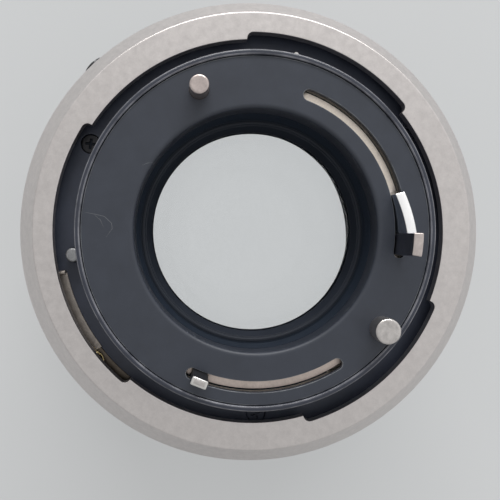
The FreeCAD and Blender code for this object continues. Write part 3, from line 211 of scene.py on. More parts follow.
def metal(name, colour, roughness, metallic=1.0, grain=0.25, grain_size=0.12, turned=0.0, tint=0.08,
          specular=0.5, blotch=3.0, wear=None, painted_side_reflection=None):
    """Metal or anodised metal: blotchy tint, fine grain, optional lathe grooves, uneven gloss, paler edges.

    painted_side_reflection is the share of the colour kept on faces that stand along the optical axis; it
    paints a dark reflection on these sides.
    """
    material, tree, principled, add = shader(name)
    place = add("ShaderNodeTexCoord").outputs["Object"]
    patches = add("ShaderNodeTexNoise", {"Vector": place, "Scale": 1 / (blotch * MM), "Detail": 5.0,
                                         "Roughness": 0.65})
    fine = add("ShaderNodeTexNoise", {"Vector": place, "Scale": 1 / (grain_size * MM), "Detail": 2.0,
                                      "Roughness": 0.7})
    shade = ramp(add, patches.outputs["Fac"],
                 [(0.3, scaled(colour, 1 - tint)), (0.7, scaled(colour, 1 + tint))])
    speck = ramp(add, fine.outputs["Fac"], [(0.25, grey(1 - tint)), (0.75, grey(1.0))])
    result = multiplied(add, shade, speck)
    if wear:
        edge = add("ShaderNodeAttribute", attribute_name="edge").outputs["Fac"]
        rubbed = ramp(add, patches.outputs["Fac"], [(0.35, grey(0.15)), (0.65, grey(0.9))])
        broken = add("ShaderNodeMath", {0: edge, 1: rubbed}, operation="MULTIPLY")
        worn = add("ShaderNodeMix", {"Factor": broken.outputs["Value"], 6: result, 7: (*wear, 1)},
                   data_type="RGBA")
        result = worn.outputs[2]
    # Painted dark reflection: faces that stand along the optical axis take a darker, bluer colour
    if painted_side_reflection:
        normal = add("ShaderNodeNewGeometry").outputs["True Normal"]
        facing = add("ShaderNodeSeparateXYZ", {"Vector": normal})
        result = multiplied(add, result, ramp(add, facing.outputs["Z"], [(0.25, painted_side_reflection), (0.6, grey(1.0))]))
    tree.links.new(result, principled.inputs["Base Color"])
    gloss = add("ShaderNodeMapRange", {"Value": patches.outputs["Fac"], "To Min": roughness * 0.85,
                                       "To Max": roughness * 1.15})
    roughness_out = gloss.outputs["Result"]
    if wear:
        smoother = add("ShaderNodeMath", {0: roughness_out, 1: 0.6}, operation="MULTIPLY")
        level = add("ShaderNodeMix", {0: edge, 2: roughness_out, 3: smoother.outputs["Value"]},
                    data_type="FLOAT")
        roughness_out = level.outputs[0]
    tree.links.new(roughness_out, principled.inputs["Roughness"])
    principled.inputs["Metallic"].default_value = metallic
    principled.inputs["Specular IOR Level"].default_value = specular
    bump = add("ShaderNodeBump", {"Height": fine.outputs["Fac"], "Strength": grain, "Distance": 0.01 * MM})
    if turned:
        grooves = turned_height(add, place, 0.09)
        second = add("ShaderNodeBump", {"Height": grooves, "Strength": turned, "Distance": 0.01 * MM,
                                        "Normal": bump.outputs["Normal"]})
        bump = second
    tree.links.new(bump.outputs["Normal"], principled.inputs["Normal"])
    return material


def rubber(name):
    material, tree, principled, add = shader(name)
    place = add("ShaderNodeTexCoord").outputs["Object"]
    dust = add("ShaderNodeTexNoise", {"Vector": place, "Scale": 900.0, "Detail": 6.0, "Roughness": 0.7})
    fine = add("ShaderNodeTexNoise", {"Vector": place, "Scale": 9000.0, "Detail": 3.0})
    colour = ramp(add, dust.outputs["Fac"],
                  [(0.35, grey(0.014)), (0.62, (0.026, 0.025, 0.024)), (0.8, grey(0.05))])
    tree.links.new(colour, principled.inputs["Base Color"])
    gloss = add("ShaderNodeMapRange", {"Value": dust.outputs["Fac"], "To Min": 0.5, "To Max": 0.8})
    tree.links.new(gloss.outputs["Result"], principled.inputs["Roughness"])
    bump = add("ShaderNodeBump", {"Height": fine.outputs["Fac"], "Strength": 0.5, "Distance": 0.02 * MM})
    tree.links.new(bump.outputs["Normal"], principled.inputs["Normal"])
    return material


def paint(name, colour):
    """Engraved and filled paint."""
    material, tree, principled, add = shader(name)
    place = add("ShaderNodeTexCoord").outputs["Object"]
    fine = add("ShaderNodeTexNoise", {"Vector": place, "Scale": 4000.0, "Detail": 3.0})
    shade = ramp(add, fine.outputs["Fac"], [(0.3, scaled(colour, 0.82)), (0.7, colour)])
    tree.links.new(shade, principled.inputs["Base Color"])
    principled.inputs["Roughness"].default_value = 0.55
    bump = add("ShaderNodeBump", {"Height": fine.outputs["Fac"], "Strength": 0.2, "Distance": 0.01 * MM})
    tree.links.new(bump.outputs["Normal"], principled.inputs["Normal"])
    return material


COATING = 0.12


def glass(name, colour, index):
    """Optical glass with a trace of dust; its coating leaves a small share of the plain reflection."""
    material, tree, principled, add = shader(name)
    place = add("ShaderNodeTexCoord").outputs["Object"]
    dust = add("ShaderNodeTexNoise", {"Vector": place, "Scale": 2600.0, "Detail": 2.0})
    haze = ramp(add, dust.outputs["Fac"], [(0.78, grey(0.0)), (0.84, grey(0.08))])
    shade = ramp(add, dust.outputs["Fac"], [(0.2, colour), (0.8, scaled(colour, 0.985))])
    tree.links.new(shade, principled.inputs["Base Color"])
    tree.links.new(haze, principled.inputs["Roughness"])
    principled.inputs["Transmission Weight"].default_value = 1.0
    principled.inputs["IOR"].default_value = index
    through = add("ShaderNodeBsdfRefraction", {"Color": shade, "Roughness": haze})
    through.inputs["IOR"].default_value = index
    coated = add("ShaderNodeMixShader", {1: through.outputs["BSDF"], 2: principled.outputs["BSDF"]})
    coated.inputs[0].default_value = COATING
    output = next(n for n in tree.nodes if n.type == "OUTPUT_MATERIAL")
    tree.links.new(coated.outputs["Shader"], output.inputs["Surface"])
    return material


# The blue cast of the blacks below, all but ring_black, is a painted reflection of a bluish room
BLACK = metal("black_anodised", (0.026, 0.030, 0.045), 0.40, metallic=0.0, grain=0.5, grain_size=0.10,
              tint=0.12, wear=(0.20, 0.20, 0.22))
# The flange's black is a lighter copy of the housing's black: painted light in the trough's shade
FLANGE_BLACK_PAINTED_LIGHT = metal("flange_black_painted_light", (0.044, 0.052, 0.078), 0.46, metallic=0.0, grain=0.5, grain_size=0.10,
                     tint=0.15)
PLATE_BLACK = metal("cover_plate_paint", (0.030, 0.035, 0.048), 0.46, metallic=0.0, grain=0.55,
                    grain_size=0.14, tint=0.10, wear=(0.20, 0.21, 0.22))
DEEP_BLACK = metal("baffle_black", (0.014, 0.020, 0.031), 0.5, metallic=0.0, grain=0.4, grain_size=0.1,
                   turned=0.5, specular=0.2)
MATT_BLACK = metal("cell_black", (0.017, 0.021, 0.030), 0.50, metallic=0.0, grain=0.3, grain_size=0.1,
                   turned=0.8, specular=0.3)
RING_BLACK = metal("ring_black", (0.022, 0.022, 0.025), 0.36, metallic=0.0, grain=0.35, grain_size=0.08,
                   turned=0.25, wear=(0.12, 0.12, 0.13))
SILVER = metal("satin_silver", (0.655, 0.615, 0.595), 0.40, grain=0.9, grain_size=0.22, turned=0.25,
               tint=0.07, blotch=0.9)
STEEL = metal("polished_steel", (0.74, 0.72, 0.69), 0.24, grain=0.2, grain_size=0.08, turned=0.1, tint=0.05)
# The lever steels paint a dark reflection on their upright sides
FIN_STEEL = metal("lever_steel", (0.93, 0.92, 0.91), 0.22, grain=0.2, grain_size=0.08, turned=0.1,
                  tint=0.04, painted_side_reflection=(0.72, 0.78, 0.88))
FOOT_STEEL = metal("foot_steel", (0.60, 0.53, 0.50), 0.36, grain=0.4, grain_size=0.3, tint=0.12, blotch=0.8,
                   painted_side_reflection=(0.32, 0.38, 0.50))
PIN_STEEL = metal("turned_steel", (0.62, 0.585, 0.56), 0.34, grain=0.5, grain_size=0.3, tint=0.16,
                  blotch=0.9)
WARM_STEEL = metal("warm_steel", (0.58, 0.50, 0.47), 0.36, grain=0.4, grain_size=0.3, tint=0.12, blotch=0.8)
GREY_STEEL = metal("grey_steel", (0.34, 0.34, 0.345), 0.42, metallic=0.7, grain=0.4, grain_size=0.2,
                   tint=0.2, blotch=0.8)
# The band colours are brightened as painted light, for light that the cover plate's shade keeps off them
BAND_PAINTED_LIGHT = metal("slot_band_painted_light", (0.90, 0.80, 0.70), 0.42, grain=0.4, grain_size=0.2, turned=0.35, tint=0.12,
             blotch=1.6)
LOW_BAND_PAINTED_LIGHT = metal("lower_band_painted_light", (0.66, 0.56, 0.50), 0.42, grain=0.4, grain_size=0.2, turned=0.35, tint=0.14,
                 blotch=1.2)
DARK_BRONZE = metal("dark_bronze", (0.15, 0.125, 0.10), 0.42, grain=0.4, grain_size=0.2, tint=0.25,
                    blotch=0.9)
BRONZE = metal("dull_bronze", (0.50, 0.45, 0.405), 0.42, grain=0.4, grain_size=0.2, tint=0.22, blotch=1.2)
GOLD = metal("bright_bronze", (0.72, 0.58, 0.30), 0.25, grain=0.2, tint=0.1)
# Blackened steel of the screw and the iris blades; on the signal post's body it is painted shade
DARK_STEEL = metal("blackened_steel_and_painted_shade", (0.035, 0.035, 0.038), 0.4, metallic=0.6, grain=0.3, tint=0.15)
RUBBER = rubber("grip_rubber")
WHITE = paint("white_paint", (0.78, 0.78, 0.76))
RED = paint("red_paint", (0.55, 0.02, 0.015))
ORANGE = paint("orange_paint", (0.75, 0.26, 0.03))
REAR_GLASS = glass("rear_glass", (0.995, 0.994, 0.995), 1.85)
FRONT_GLASS = glass("front_glass", (0.995, 0.994, 0.995), 1.52)
SCRATCH = paint("bare_scratch", (0.16, 0.165, 0.175))


# ---------------------------------------------------------------- mesh helpers

WORN_WIDTH = 0.13


def mark_edges(mesh):
    """Face attribute that is 1 on the narrow rounded edges, where the finish wears first."""
    marks = mesh.attributes.new("edge", "FLOAT", "FACE")
    for polygon, mark in zip(mesh.polygons, marks.data):
        spots = [mesh.vertices[index].co for index in polygon.vertices]
        shortest = min((a - b).length for a, b in zip(spots, spots[1:] + spots[:1]))
        slanted = 0.08 < abs(polygon.normal.z) < 0.995
        mark.value = 1.0 if slanted and shortest < WORN_WIDTH * MM else 0.0


def piece(name, verts, faces, material, body, slot, replaces=(), sharp=35.0, weighted=True):
    """Make one piece from millimetre vertices and let it ride on a body."""
    mesh = bpy.data.meshes.new(name)
    mesh.from_pydata([(x * MM, y * MM, z * MM) for x, y, z in verts], [], faces)
    mesh.validate()
    obj = bpy.data.objects.new(name, mesh)
    bpy.context.scene.collection.objects.link(obj)
    mesh.materials.append(material)
    mark_edges(mesh)
    mesh.shade_smooth()
    for polygon in mesh.polygons:
        polygon.use_smooth = abs(polygon.normal.z) < 0.9999
    mesh.set_sharp_from_angle(angle=math.radians(sharp))
    if weighted:
        normals = obj.modifiers.new("normals", "WEIGHTED_NORMAL")
        normals.keep_sharp = True
    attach(obj, body)
    if replaces:
        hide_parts(*replaces)
    return obj


SUPPORT = 0.12  # distance of the extra edge that keeps the flat beside a rounding flat


def rounded(corners, steps=4):
    """Closed profile whose corners (radius, height, setback) are rounded."""
    points = []
    count = len(corners)
    for index, (r, z, setback) in enumerate(corners):
        here = Vector((r, z))
        if setback <= 0:
            points.append((r, z))
            continue
        towards = Vector(corners[index - 1][:2]) - here
        onwards = Vector(corners[(index + 1) % count][:2]) - here
        before, after = towards.normalized(), onwards.normalized()
        first = here + before * setback
        last = here + after * setback
        if towards.length > 2 * setback + 4 * SUPPORT:
            held = first + before * SUPPORT
            points.append((held.x, held.y))
        for step in range(steps + 1):
            t = step / steps
            spot = first * (1 - t) ** 2 + here * (2 * t * (1 - t)) + last * t * t
            points.append((spot.x, spot.y))
        if onwards.length > 2 * setback + 4 * SUPPORT:
            held = last + after * SUPPORT
            points.append((held.x, held.y))
    return points


def even_angles(count):
    return [index * 360.0 / count for index in range(count)]


def revolve(profile, angles):
    """Vertices and faces of a profile carried round the axis; a profile may be a function of the angle."""
    verts = []
    size = 0
    for angle in angles:
        turn = math.radians(angle)
        c, s = math.cos(turn), math.sin(turn)
        points = profile(angle) if callable(profile) else profile
        size = len(points)
        verts.extend((r * c, r * s, z) for r, z in points)
    faces = []
    count = len(angles)
    for i in range(count):
        j = (i + 1) % count
        for k in range(size):
            m = (k + 1) % size
            faces.append((i * size + k, j * size + k, j * size + m, i * size + m))
    return verts, faces


def lathe(name, corners, material, body, slot, replaces=(), segments=360, **options):
    """Turned ring with rounded corners."""
    verts, faces = revolve(rounded(corners), even_angles(segments))
    return piece(name, verts, faces, material, body, slot, replaces, **options)


def turned_pin(name, radius, base, high, spot, chamfer, material, body, slot, replaces=(), dish=0.0):
    """Round pin with a rounded rim at a place on the rear."""
    profile = rounded([(0.001, base, 0), (radius, base, 0), (radius, high, chamfer),
                       (0.001, high - dish, 0)])
    verts, faces = revolve(profile, even_angles(64))
    at = polar(*spot)
    verts = [(x + at.x, y + at.y, z) for x, y, z in verts]
    return piece(name, verts, faces, material, body, slot, replaces)


def round_edge(radius, spot=(0.0, 0.0), outside=False, steps=48):
    """Contour of a round hole, or of a plate's round outside, as a function of the inset."""
    centre = polar(*spot)

    def at(inset):
        r = radius - inset if outside else radius + inset
        return [centre + polar(r, angle) for angle in even_angles(steps)]
    return at


def slot_edge(radius, width, start, end, steps=72):
    """Contour of a curved slot with round ends."""
    inset_angle = math.degrees(width / 2 / radius)
    first, last = start + inset_angle, end - inset_angle
    caps = 16

    def at(inset):
        half = width / 2 + inset
        points = [polar(radius + half, first + (last - first) * k / steps) for k in range(steps)]
        points += [polar(radius, last) + polar(half, last + 180 * k / caps) for k in range(caps)]
        points += [polar(radius - half, last + (first - last) * k / steps) for k in range(steps)]
        points += [polar(radius, first) + polar(half, first + 180 + 180 * k / caps) for k in range(caps)]
        return points
    return at


def cross_edge(spot, arm, width, turn=0.0):
    """Contour of a cross recess."""
    centre = polar(*spot)

    def at(inset):
        a, w = arm + inset, width + inset
        shape = [(w, a), (-w, a), (-w, w), (-a, w), (-a, -w), (-w, -w), (-w, -a), (w, -a), (w, -w), (a, -w),
                 (a, w), (w, w)]
        spin = Matrix.Rotation(math.radians(turn), 3, "Z")
        return [centre + spin @ Vector((x, y, 0)) for x, y in shape]
    return at


def plate(edges, high):
    """Flat plate; each edge is (contour, rounding, bottom), the outside first and then the holes."""
    loops = [contour(rounding + SUPPORT) for contour, rounding, _ in edges]
    verts = [(p.x, p.y, high) for loop in loops for p in loop]
    faces = []
    for a, b, c in geometry.tessellate_polygon([[Vector((p.x, p.y, 0)) for p in loop] for loop in loops]):
        va, vb, vc = (Vector(verts[i]) for i in (a, b, c))
        faces.append((a, b, c) if (vb - va).cross(vc - va).z > 0 else (a, c, b))
    start = 0
    steps = 5
    for (contour, rounding, bottom), loop in zip(edges, loops):
        size = len(loop)
        rings = [list(range(start, start + size))]
        start += size
        levels = [(rounding * (1 - math.sin(t * math.pi / 2 / steps)),
                   high - rounding * (1 - math.cos(t * math.pi / 2 / steps))) for t in range(steps + 1)]
        levels.append((0.0, bottom))
        for inset, z in levels:
            ring_points = contour(inset)
            rings.append(list(range(len(verts), len(verts) + size)))
            verts.extend((p.x, p.y, z) for p in ring_points)
        for upper, lower in zip(rings, rings[1:]):
            for k in range(size):
                m = (k + 1) % size
                faces.append((upper[m], upper[k], lower[k], lower[m]))
    return verts, faces


def soft_block(size, chamfer, cuts=0):
    """Box from the origin's plane upwards with rounded edges, cut along x so that it can be bent."""
    bm = bmesh.new()
    bmesh.ops.create_cube(bm, size=1.0)
    for v in bm.verts:
        v.co = Vector((v.co.x * size[0], v.co.y * size[1], (v.co.z + 0.5) * size[2]))
    bmesh.ops.bevel(bm, geom=bm.edges[:], offset=chamfer, segments=3, profile=0.5, affect="EDGES")
    for k in range(1, cuts):
        x = -size[0] / 2 + size[0] * k / cuts
        bmesh.ops.bisect_plane(bm, geom=bm.verts[:] + bm.edges[:] + bm.faces[:], plane_co=(x, 0, 0),
                               plane_no=(1, 0, 0))
    bmesh.ops.recalc_face_normals(bm, faces=bm.faces[:])
    bm.verts.index_update()
    verts = [tuple(v.co) for v in bm.verts]
    faces = [tuple(v.index for v in f.verts) for f in bm.faces]
    bm.free()
    return verts, faces


def arc_block(name, radius, width, start, end, base, high, chamfer, material, body, slot, replaces=(),
              slope=None, lean=None):
    """Rounded block bent round the axis.

    slope gives the height of its top at an angle, lean its drift outwards at an angle and height.
    """
    length = math.radians(end - start) * radius
    verts, faces = soft_block((length, width, high - base), chamfer, cuts=24)
    middle = (start + end) / 2
    out = []
    for x, y, z in verts:
        angle = middle + math.degrees(x / radius)
        if slope:
            z *= (slope(angle) - base) / (high - base)
        drift = lean(angle, base + z) if lean else 0.0
        out.append(tuple(polar(radius + y + drift, angle, base + z)))
    faces = [tuple(reversed(f)) for f in faces]
    return piece(name, out, faces, material, body, slot, replaces)


# ---------------------------------------------------------------- breech-lock ring

def notch_share(angle):
    """0 on a lug and 1 in a notch, with rounded corners between."""
    share = 0.0
    corner = math.degrees(NOTCH_CORNER / NOTCH_R)
    for centre, half in NOTCHES:
        off = abs((angle - centre + 180) % 360 - 180)
        inside = half - off
        if inside > 0:
            t = min(1.0, inside / corner)
            share = max(share, math.sqrt(1 - (1 - t) ** 2) * 0.9 + 0.1 * min(1.0, inside / 0.15))
    return share


def ring_profile(angle):
    """Profile of the breech-lock ring at an angle."""
    inner = LUG_R + (NOTCH_R - LUG_R) * notch_share(angle)
    lug_bottom = RING_TOP - LUG_THICKNESS
    bevel_bottom = RING_TOP - BEVEL_DROP
    pitch = 360.0 / RING_FLUTES
    off = abs((angle + pitch / 2) % pitch - pitch / 2)
    depth = FLUTE_DEPTH * (1 - smooth(off, 0.0, pitch * 0.3))
    side = RING_R - depth
    low_end = RING_BOTTOM + FLUTE_END
    high_end = bevel_bottom - FLUTE_END
    groove_r = SKIRT_IN_R + 0.9
    return rounded([
        (inner, lug_bottom, 0.08), (SKIRT_IN_R, lug_bottom, 0.05), (SKIRT_IN_R, RING_BOTTOM + 1.4, 0),
        (groove_r, RING_BOTTOM + 0.5, 0), (groove_r, RING_BOTTOM, 0.05),
        (RING_R, RING_BOTTOM, 0.3), (RING_R, low_end - 0.1, 0), (side, low_end + 0.2, 0),
        (side, high_end - 0.2, 0), (RING_R, high_end + 0.1, 0), (RING_R, bevel_bottom, 0.25),
        (FACE_R, RING_TOP, 0.13), (inner, RING_TOP, 0.10)], steps=4)


# Even steps round the ring, and finer ones at the corners of the notches
ring_angles = set(round(a, 3) for a in even_angles(1440))
for notch_centre, notch_half in NOTCHES:
    for side in (-1, 1):
        edge_angle = notch_centre + side * notch_half
        for step in range(-10, 60):
            ring_angles.add(round((edge_angle - side * step * 0.05) % 360, 3))
piece("locking_ring", *revolve(ring_profile, sorted(ring_angles)), SILVER, "breech_ring", "satin_silver",
      ("breech_lock_ring",), sharp=50)


# ---------------------------------------------------------------- rear mount

body = "mount_body"
PIN_GAP = 0.05
RELEASE_GAP = 0.07
SCREW_GAP = 0.06
SMALL_HOLE_R = 0.32
SMALL_HOLE = (RELEASE_PIN[0] - 0.05, RELEASE_PIN[1] - 2.6)
foot_r = CYLINDER_R - FOOT_RELIEF
rim_in = CYLINDER_R - RIM_WIDTH
ledge_in = CYLINDER_R - LEDGE_WIDTH
cylinder_low = FLANGE - 0.2
lathe("rear_cylinder", [
    (foot_r, cylinder_low, 0), (foot_r, FOOT_EDGE, 0.1), (CYLINDER_R, FOOT_EDGE, 0.1),
    (CYLINDER_R, RIM_TOP, 0.3), (rim_in, RIM_TOP, 0.2), (rim_in, PLATE_BOTTOM, 0),
    (ledge_in, PLATE_BOTTOM, 0), (ledge_in, cylinder_low, 0)],
    BLACK, body, "black_anodised", ("rear_mount_housing",), segments=512)
flange_edges = [(round_edge(FLANGE_R, outside=True, steps=256), 0.05, FLANGE_BOTTOM),
                (round_edge(CYLINDER_R, steps=256), 0.02, FLANGE - 0.1)]
for angle in SCREW_ANGLES:
    flange_edges.append((round_edge(SCREW_R + SCREW_GAP, (SCREW_AT, angle)), 0.07, FLANGE - 0.9))
flange_edges += [(round_edge(POSITION_PIN_R + PIN_GAP, POSITION_PIN), 0.06, FLANGE_BOTTOM),
                 (round_edge(RELEASE_PIN_R + RELEASE_GAP, RELEASE_PIN), 0.04, FLANGE_BOTTOM),
                 (round_edge(SMALL_HOLE_R, SMALL_HOLE), 0.03, FLANGE_BOTTOM)]
piece("mount_flange", *plate(flange_edges, FLANGE), FLANGE_BLACK_PAINTED_LIGHT, body, "black_anodised")

plate_edges = [
    (round_edge(PLATE_R, outside=True, steps=360), 0.12, PLATE_BOTTOM),
    (round_edge(OPENING_R, steps=256), OPENING_ROUND, COLLAR_BOTTOM),
    (slot_edge(AUTO_SLOT_R, SLOT_WIDTH, *AUTO_SLOT), 0.07, PLATE_BOTTOM),
    (slot_edge(SIGNAL_SLOT_R, SLOT_WIDTH, *SIGNAL_SLOT), 0.07, PLATE_BOTTOM),
    (round_edge(SWITCH_PIN_R + PIN_GAP, SWITCH_PIN), 0.05, PLATE_BOTTOM)]
piece("cover_plate", *plate(plate_edges, PLATE_TOP), PLATE_BLACK, body, "black_anodised",
      ("rear_cover_plate",), sharp=50)

# Light baffle: a ribbed funnel that narrows from the collar of the cover plate towards the glass
SLEEVE_BOTTOM = low("lever_bearing_sleeve")
SLEEVE_R = 17.1
COLLAR_R = 16.33
FUNNEL_TOP = COLLAR_BOTTOM - 0.03
FUNNEL_R = 15.55
FUNNEL_TAPER = 0.35
FUNNEL_RIB = 0.06
FUNNEL_STEPS = 14
sleeve_profile = []
for index in range(FUNNEL_STEPS + 1):
    share = index / FUNNEL_STEPS
    z = FUNNEL_TOP + (SLEEVE_BOTTOM - FUNNEL_TOP) * share
    sleeve_profile.append((FUNNEL_R - FUNNEL_TAPER * share + (FUNNEL_RIB if index % 2 else 0.0), z, 0))
sleeve_profile += [(SLEEVE_R, SLEEVE_BOTTOM, 0), (SLEEVE_R, PLATE_BOTTOM, 0), (COLLAR_R, PLATE_BOTTOM, 0),
                   (COLLAR_R, FUNNEL_TOP, 0)]
lathe("light_baffle", sleeve_profile, DEEP_BLACK, body, "black_anodised", ("lever_bearing_sleeve",),
      segments=256, weighted=False)

turned_pin("position_pin", POSITION_PIN_R, FLANGE_BOTTOM, top("positioning_pin"), POSITION_PIN,
           PIN_CHAMFER, GREY_STEEL, body, "polished_steel", ("positioning_pin",))
turned_pin("full_aperture_post", FULL_PIN_R, PLATE_TOP, PIN_TOP, FULL_PIN, PIN_CHAMFER, PIN_STEEL, body,
           "polished_steel", ("full_aperture_pin",), dish=0.06)
turned_pin("switch_pin_tip", SWITCH_PIN_R, PLATE_BOTTOM - 0.5, PIN_TOP, SWITCH_PIN, PIN_CHAMFER,
           WARM_STEEL, "switch_pin", "polished_steel", ("exposure_switch_pin",), dish=0.05)
turned_pin("release_pin_tip", RELEASE_PIN_R, FLANGE_BOTTOM, top("ring_release_pin"), RELEASE_PIN, 0.12,
           STEEL, "release_pin", "polished_steel", ("ring_release_pin",))

# Flange screws with cross recesses; the first shows, the floor of its recess painted deep black as painted
# shade; the others take the look of the flange round them
CROSS_ARM = 0.72
CROSS_WIDTH = 0.17
CROSS_TURN = 20
RECESS_R = 0.8
for index, angle in enumerate(SCREW_ANGLES):
    spot = (SCREW_AT, angle)
    edges = [(round_edge(SCREW_R, spot, outside=True), 0.16, FLANGE - 0.6),
             (cross_edge(spot, CROSS_ARM, CROSS_WIDTH, angle + CROSS_TURN), 0.05, FLANGE - 0.4)]
    piece("screw_head_%d" % (index + 1), *plate(edges, FLANGE - 0.02),
          FLANGE_BLACK_PAINTED_LIGHT if index else DARK_STEEL, body, "black_steel", () if index else ("mount_screws",))
    # Recess floor: deep black on the first screw is painted shade
    floor_points = [polar(*spot) + polar(RECESS_R, turn) for turn in even_angles(12)]
    piece("screw_recess_%d" % (index + 1), [(p.x, p.y, FLANGE - 0.38) for p in floor_points],
          [tuple(range(12))], FLANGE_BLACK_PAINTED_LIGHT if index else DEEP_BLACK, body, "black_steel")

# Bronze leaf of the lock spring in the index notch, its darker tail, its raised end and a small coil
for name, radius, width, start, end, rise, chamfer, material, nodes in (
        ("lock_leaf", 26.9, 1.8, 274.0, 299.0, 0.25, 0.06, BRONZE, ("lock_spring_leaf",)),
        ("lock_leaf_tail", 26.95, 1.6, 298.6, 311.8, 0.2, 0.06, DARK_BRONZE, ()),
        ("lock_leaf_end", 26.92, 1.75, 273.2, 274.4, 0.9, 0.25, BRONZE, ())):
    arc_block(name, radius, width, start, end, FLANGE, FLANGE + rise, chamfer, material, body, "bronze",
              nodes)
COIL_AT = (27.5, 300.9)
COIL_R = 0.85
COIL_RISE = 0.85
WIRE_R = 0.17
coil_profile = [(COIL_R + WIRE_R * math.cos(t), FLANGE + COIL_RISE + WIRE_R * math.sin(t))
                for t in (2 * math.pi * k / 14 for k in range(14))]
coil, coil_faces = revolve(coil_profile, even_angles(48))
coil_at = polar(*COIL_AT)
piece("lock_spring_coil", [(x + coil_at.x, y + coil_at.y, z) for x, y, z in coil], coil_faces, GOLD, body,
      "bronze", weighted=False)

# Hairline scratches on the cover plate; places are to the right of and above the axis in the photograph
SCRATCHES = (((-21.9, 2.3), (-20.6, 2.05), (-19.3, 1.75), (-18.4, 0.9), (-18.3, 0.2), (-19.1, -0.9)),
             ((-20.6, 2.0), (-19.8, 1.3), (-19.4, 0.4)),
             ((-14.6, 8.2), (-13.9, 8.5), (-13.2, 8.6)))
SCRATCH_HALF = 0.022
SCRATCH_TIP = 0.004
SCRATCH_RISE = 0.004
turn = Matrix.Rotation(math.radians(PHOTO_TURN), 3, "Z")
for index, line in enumerate(SCRATCHES):
    points = [turn @ Vector((*point, 0)) for point in line]
    last = len(points) - 1
    left, right = [], []
    for place, point in enumerate(points):
        ahead = (points[min(place + 1, last)] - points[max(place - 1, 0)]).normalized()
        half = ahead.cross(Vector((0, 0, 1))) * (SCRATCH_HALF if 0 < place < last else SCRATCH_TIP)
        left.append(point + half)
        right.append(point - half)
    outline = right + list(reversed(left))
    faces = [(k, k + 1, len(outline) - 2 - k, len(outline) - 1 - k) for k in range(last)]
    piece("scratch_%d" % (index + 1), [(p.x, p.y, PLATE_TOP + SCRATCH_RISE) for p in outline], faces,
          SCRATCH, body, "black_anodised", weighted=False)


# ---------------------------------------------------------------- levers

FIN_WIDTH = 1.2
FIN = (80.1, 96.2)
FIN_RISE = 3.7
FIN_DROP = 1.7
FIN_SLOPE = (80.7, 96.8)
FIN_BEND = (80.2, 96.1)
LEAN = 0.24
LEAN_LOSS = 0.38
LEVER_FOOT = (71.7, 80.2)


def fin_height(angle):
    return PLATE_TOP + FIN_RISE - (angle - FIN_SLOPE[0]) / (FIN_SLOPE[1] - FIN_SLOPE[0]) * FIN_DROP


def bend(z):
    """Share of the lean at a height: none inside the slot, all of it 2 mm above the plate."""
    return smooth(z, PLATE_TOP + 0.2, PLATE_TOP + 2.0)


def fin_lean(angle, z):
    """Above the plate the fin leans outwards at its high end and a little inwards at its low end."""
    return bend(z) * (LEAN - (angle - FIN_BEND[0]) / (FIN_BEND[1] - FIN_BEND[0]) * LEAN_LOSS)


def foot_lean(angle, z):
    return LEAN * bend(z)


arc_block("lever_fin", AUTO_SLOT_R, FIN_WIDTH, *FIN, CARRIER_TOP, PLATE_TOP + FIN_RISE, 0.10, FIN_STEEL,
          "auto_lever", "polished_steel", ("automatic_aperture_lever",), slope=fin_height, lean=fin_lean)
arc_block("lever_foot", AUTO_SLOT_R, FIN_WIDTH, *LEVER_FOOT, CARRIER_TOP, FOOT_TOP, 0.14, FOOT_STEEL,
          "auto_lever", "polished_steel", lean=foot_lean)

# Raised bands of the carriers that show in the slots, their colours brightened as painted light, each with
# a black strip along its outer side that paints the shade along the slot's outer wall
BAND_TOP = CARRIER_TOP + 0.5
SIGNAL_BAND_R = SIGNAL_SLOT_R - 0.1
for name, radius, width, start, end, lift, material, rider in (
        ("auto_band", AUTO_SLOT_R - 0.08, 1.16, 97.2, 152.4, -0.1, BAND_PAINTED_LIGHT, "auto_lever"),
        ("signal_band", SIGNAL_BAND_R, 1.12, 333.4, 386.5, 0.02, LOW_BAND_PAINTED_LIGHT, "signal_lever"),
        ("signal_band_start", SIGNAL_BAND_R, 1.12, 324.0, 326.8, 0.02, LOW_BAND_PAINTED_LIGHT, "signal_lever")):
    arc_block(name, radius, width, start, end, CARRIER_TOP + lift, BAND_TOP, 0.04, material, rider,
              "polished_steel")
# Painted shade: a black strip beside each band
SHADE_STRIP_OUT = 0.55
SHADE_STRIP_WIDTH = 0.38
for name, radius, start, end, rider in (("auto_painted_shade", AUTO_SLOT_R, 97.2, 152.4, "auto_lever"),
                                        ("signal_painted_shade", SIGNAL_SLOT_R, 324.0, 378.5, "signal_lever")):
    arc_block(name, radius + SHADE_STRIP_OUT, SHADE_STRIP_WIDTH, start, end, CARRIER_TOP - 0.1, CARRIER_TOP + 0.02,
              0.01, DEEP_BLACK, rider, "black_anodised")

SIGNAL_SPOT = seat("aperture_signal_lever")
SIGNAL_CAP = 0.45
spin = Matrix.Rotation(math.radians(SIGNAL_SPOT[1]), 3, "Z")


def post_part(name, size, base, chamfer, material, replaces=()):
    """Block of the square signal post, standing at a height; size is its depth, width and height."""
    verts, faces = soft_block(size, chamfer)
    at = polar(*SIGNAL_SPOT, base)
    piece(name, [tuple(spin @ Vector(v) + at) for v in verts], faces, material, "signal_lever",
          "polished_steel", replaces)


# The post's body is dark steel as painted shade on its sides; the bright steel cap sits on it
post_part("signal_post", (1.04, 1.98, SIGNAL_TOP - SIGNAL_CAP - CARRIER_TOP + 0.1), CARRIER_TOP, 0.05,
          DARK_STEEL, ("aperture_signal_lever",))
post_part("signal_post_cap", (1.1, 2.05, SIGNAL_CAP - 0.02), SIGNAL_TOP - SIGNAL_CAP, 0.18, STEEL)
post_part("signal_post_face", (0.62, 1.45, 0.03), SIGNAL_TOP - 0.03, 0.01, PIN_STEEL)


# ---------------------------------------------------------------- glass

def sag(curve, radius):
    return curve - math.copysign(math.sqrt(curve * curve - radius * radius), curve)


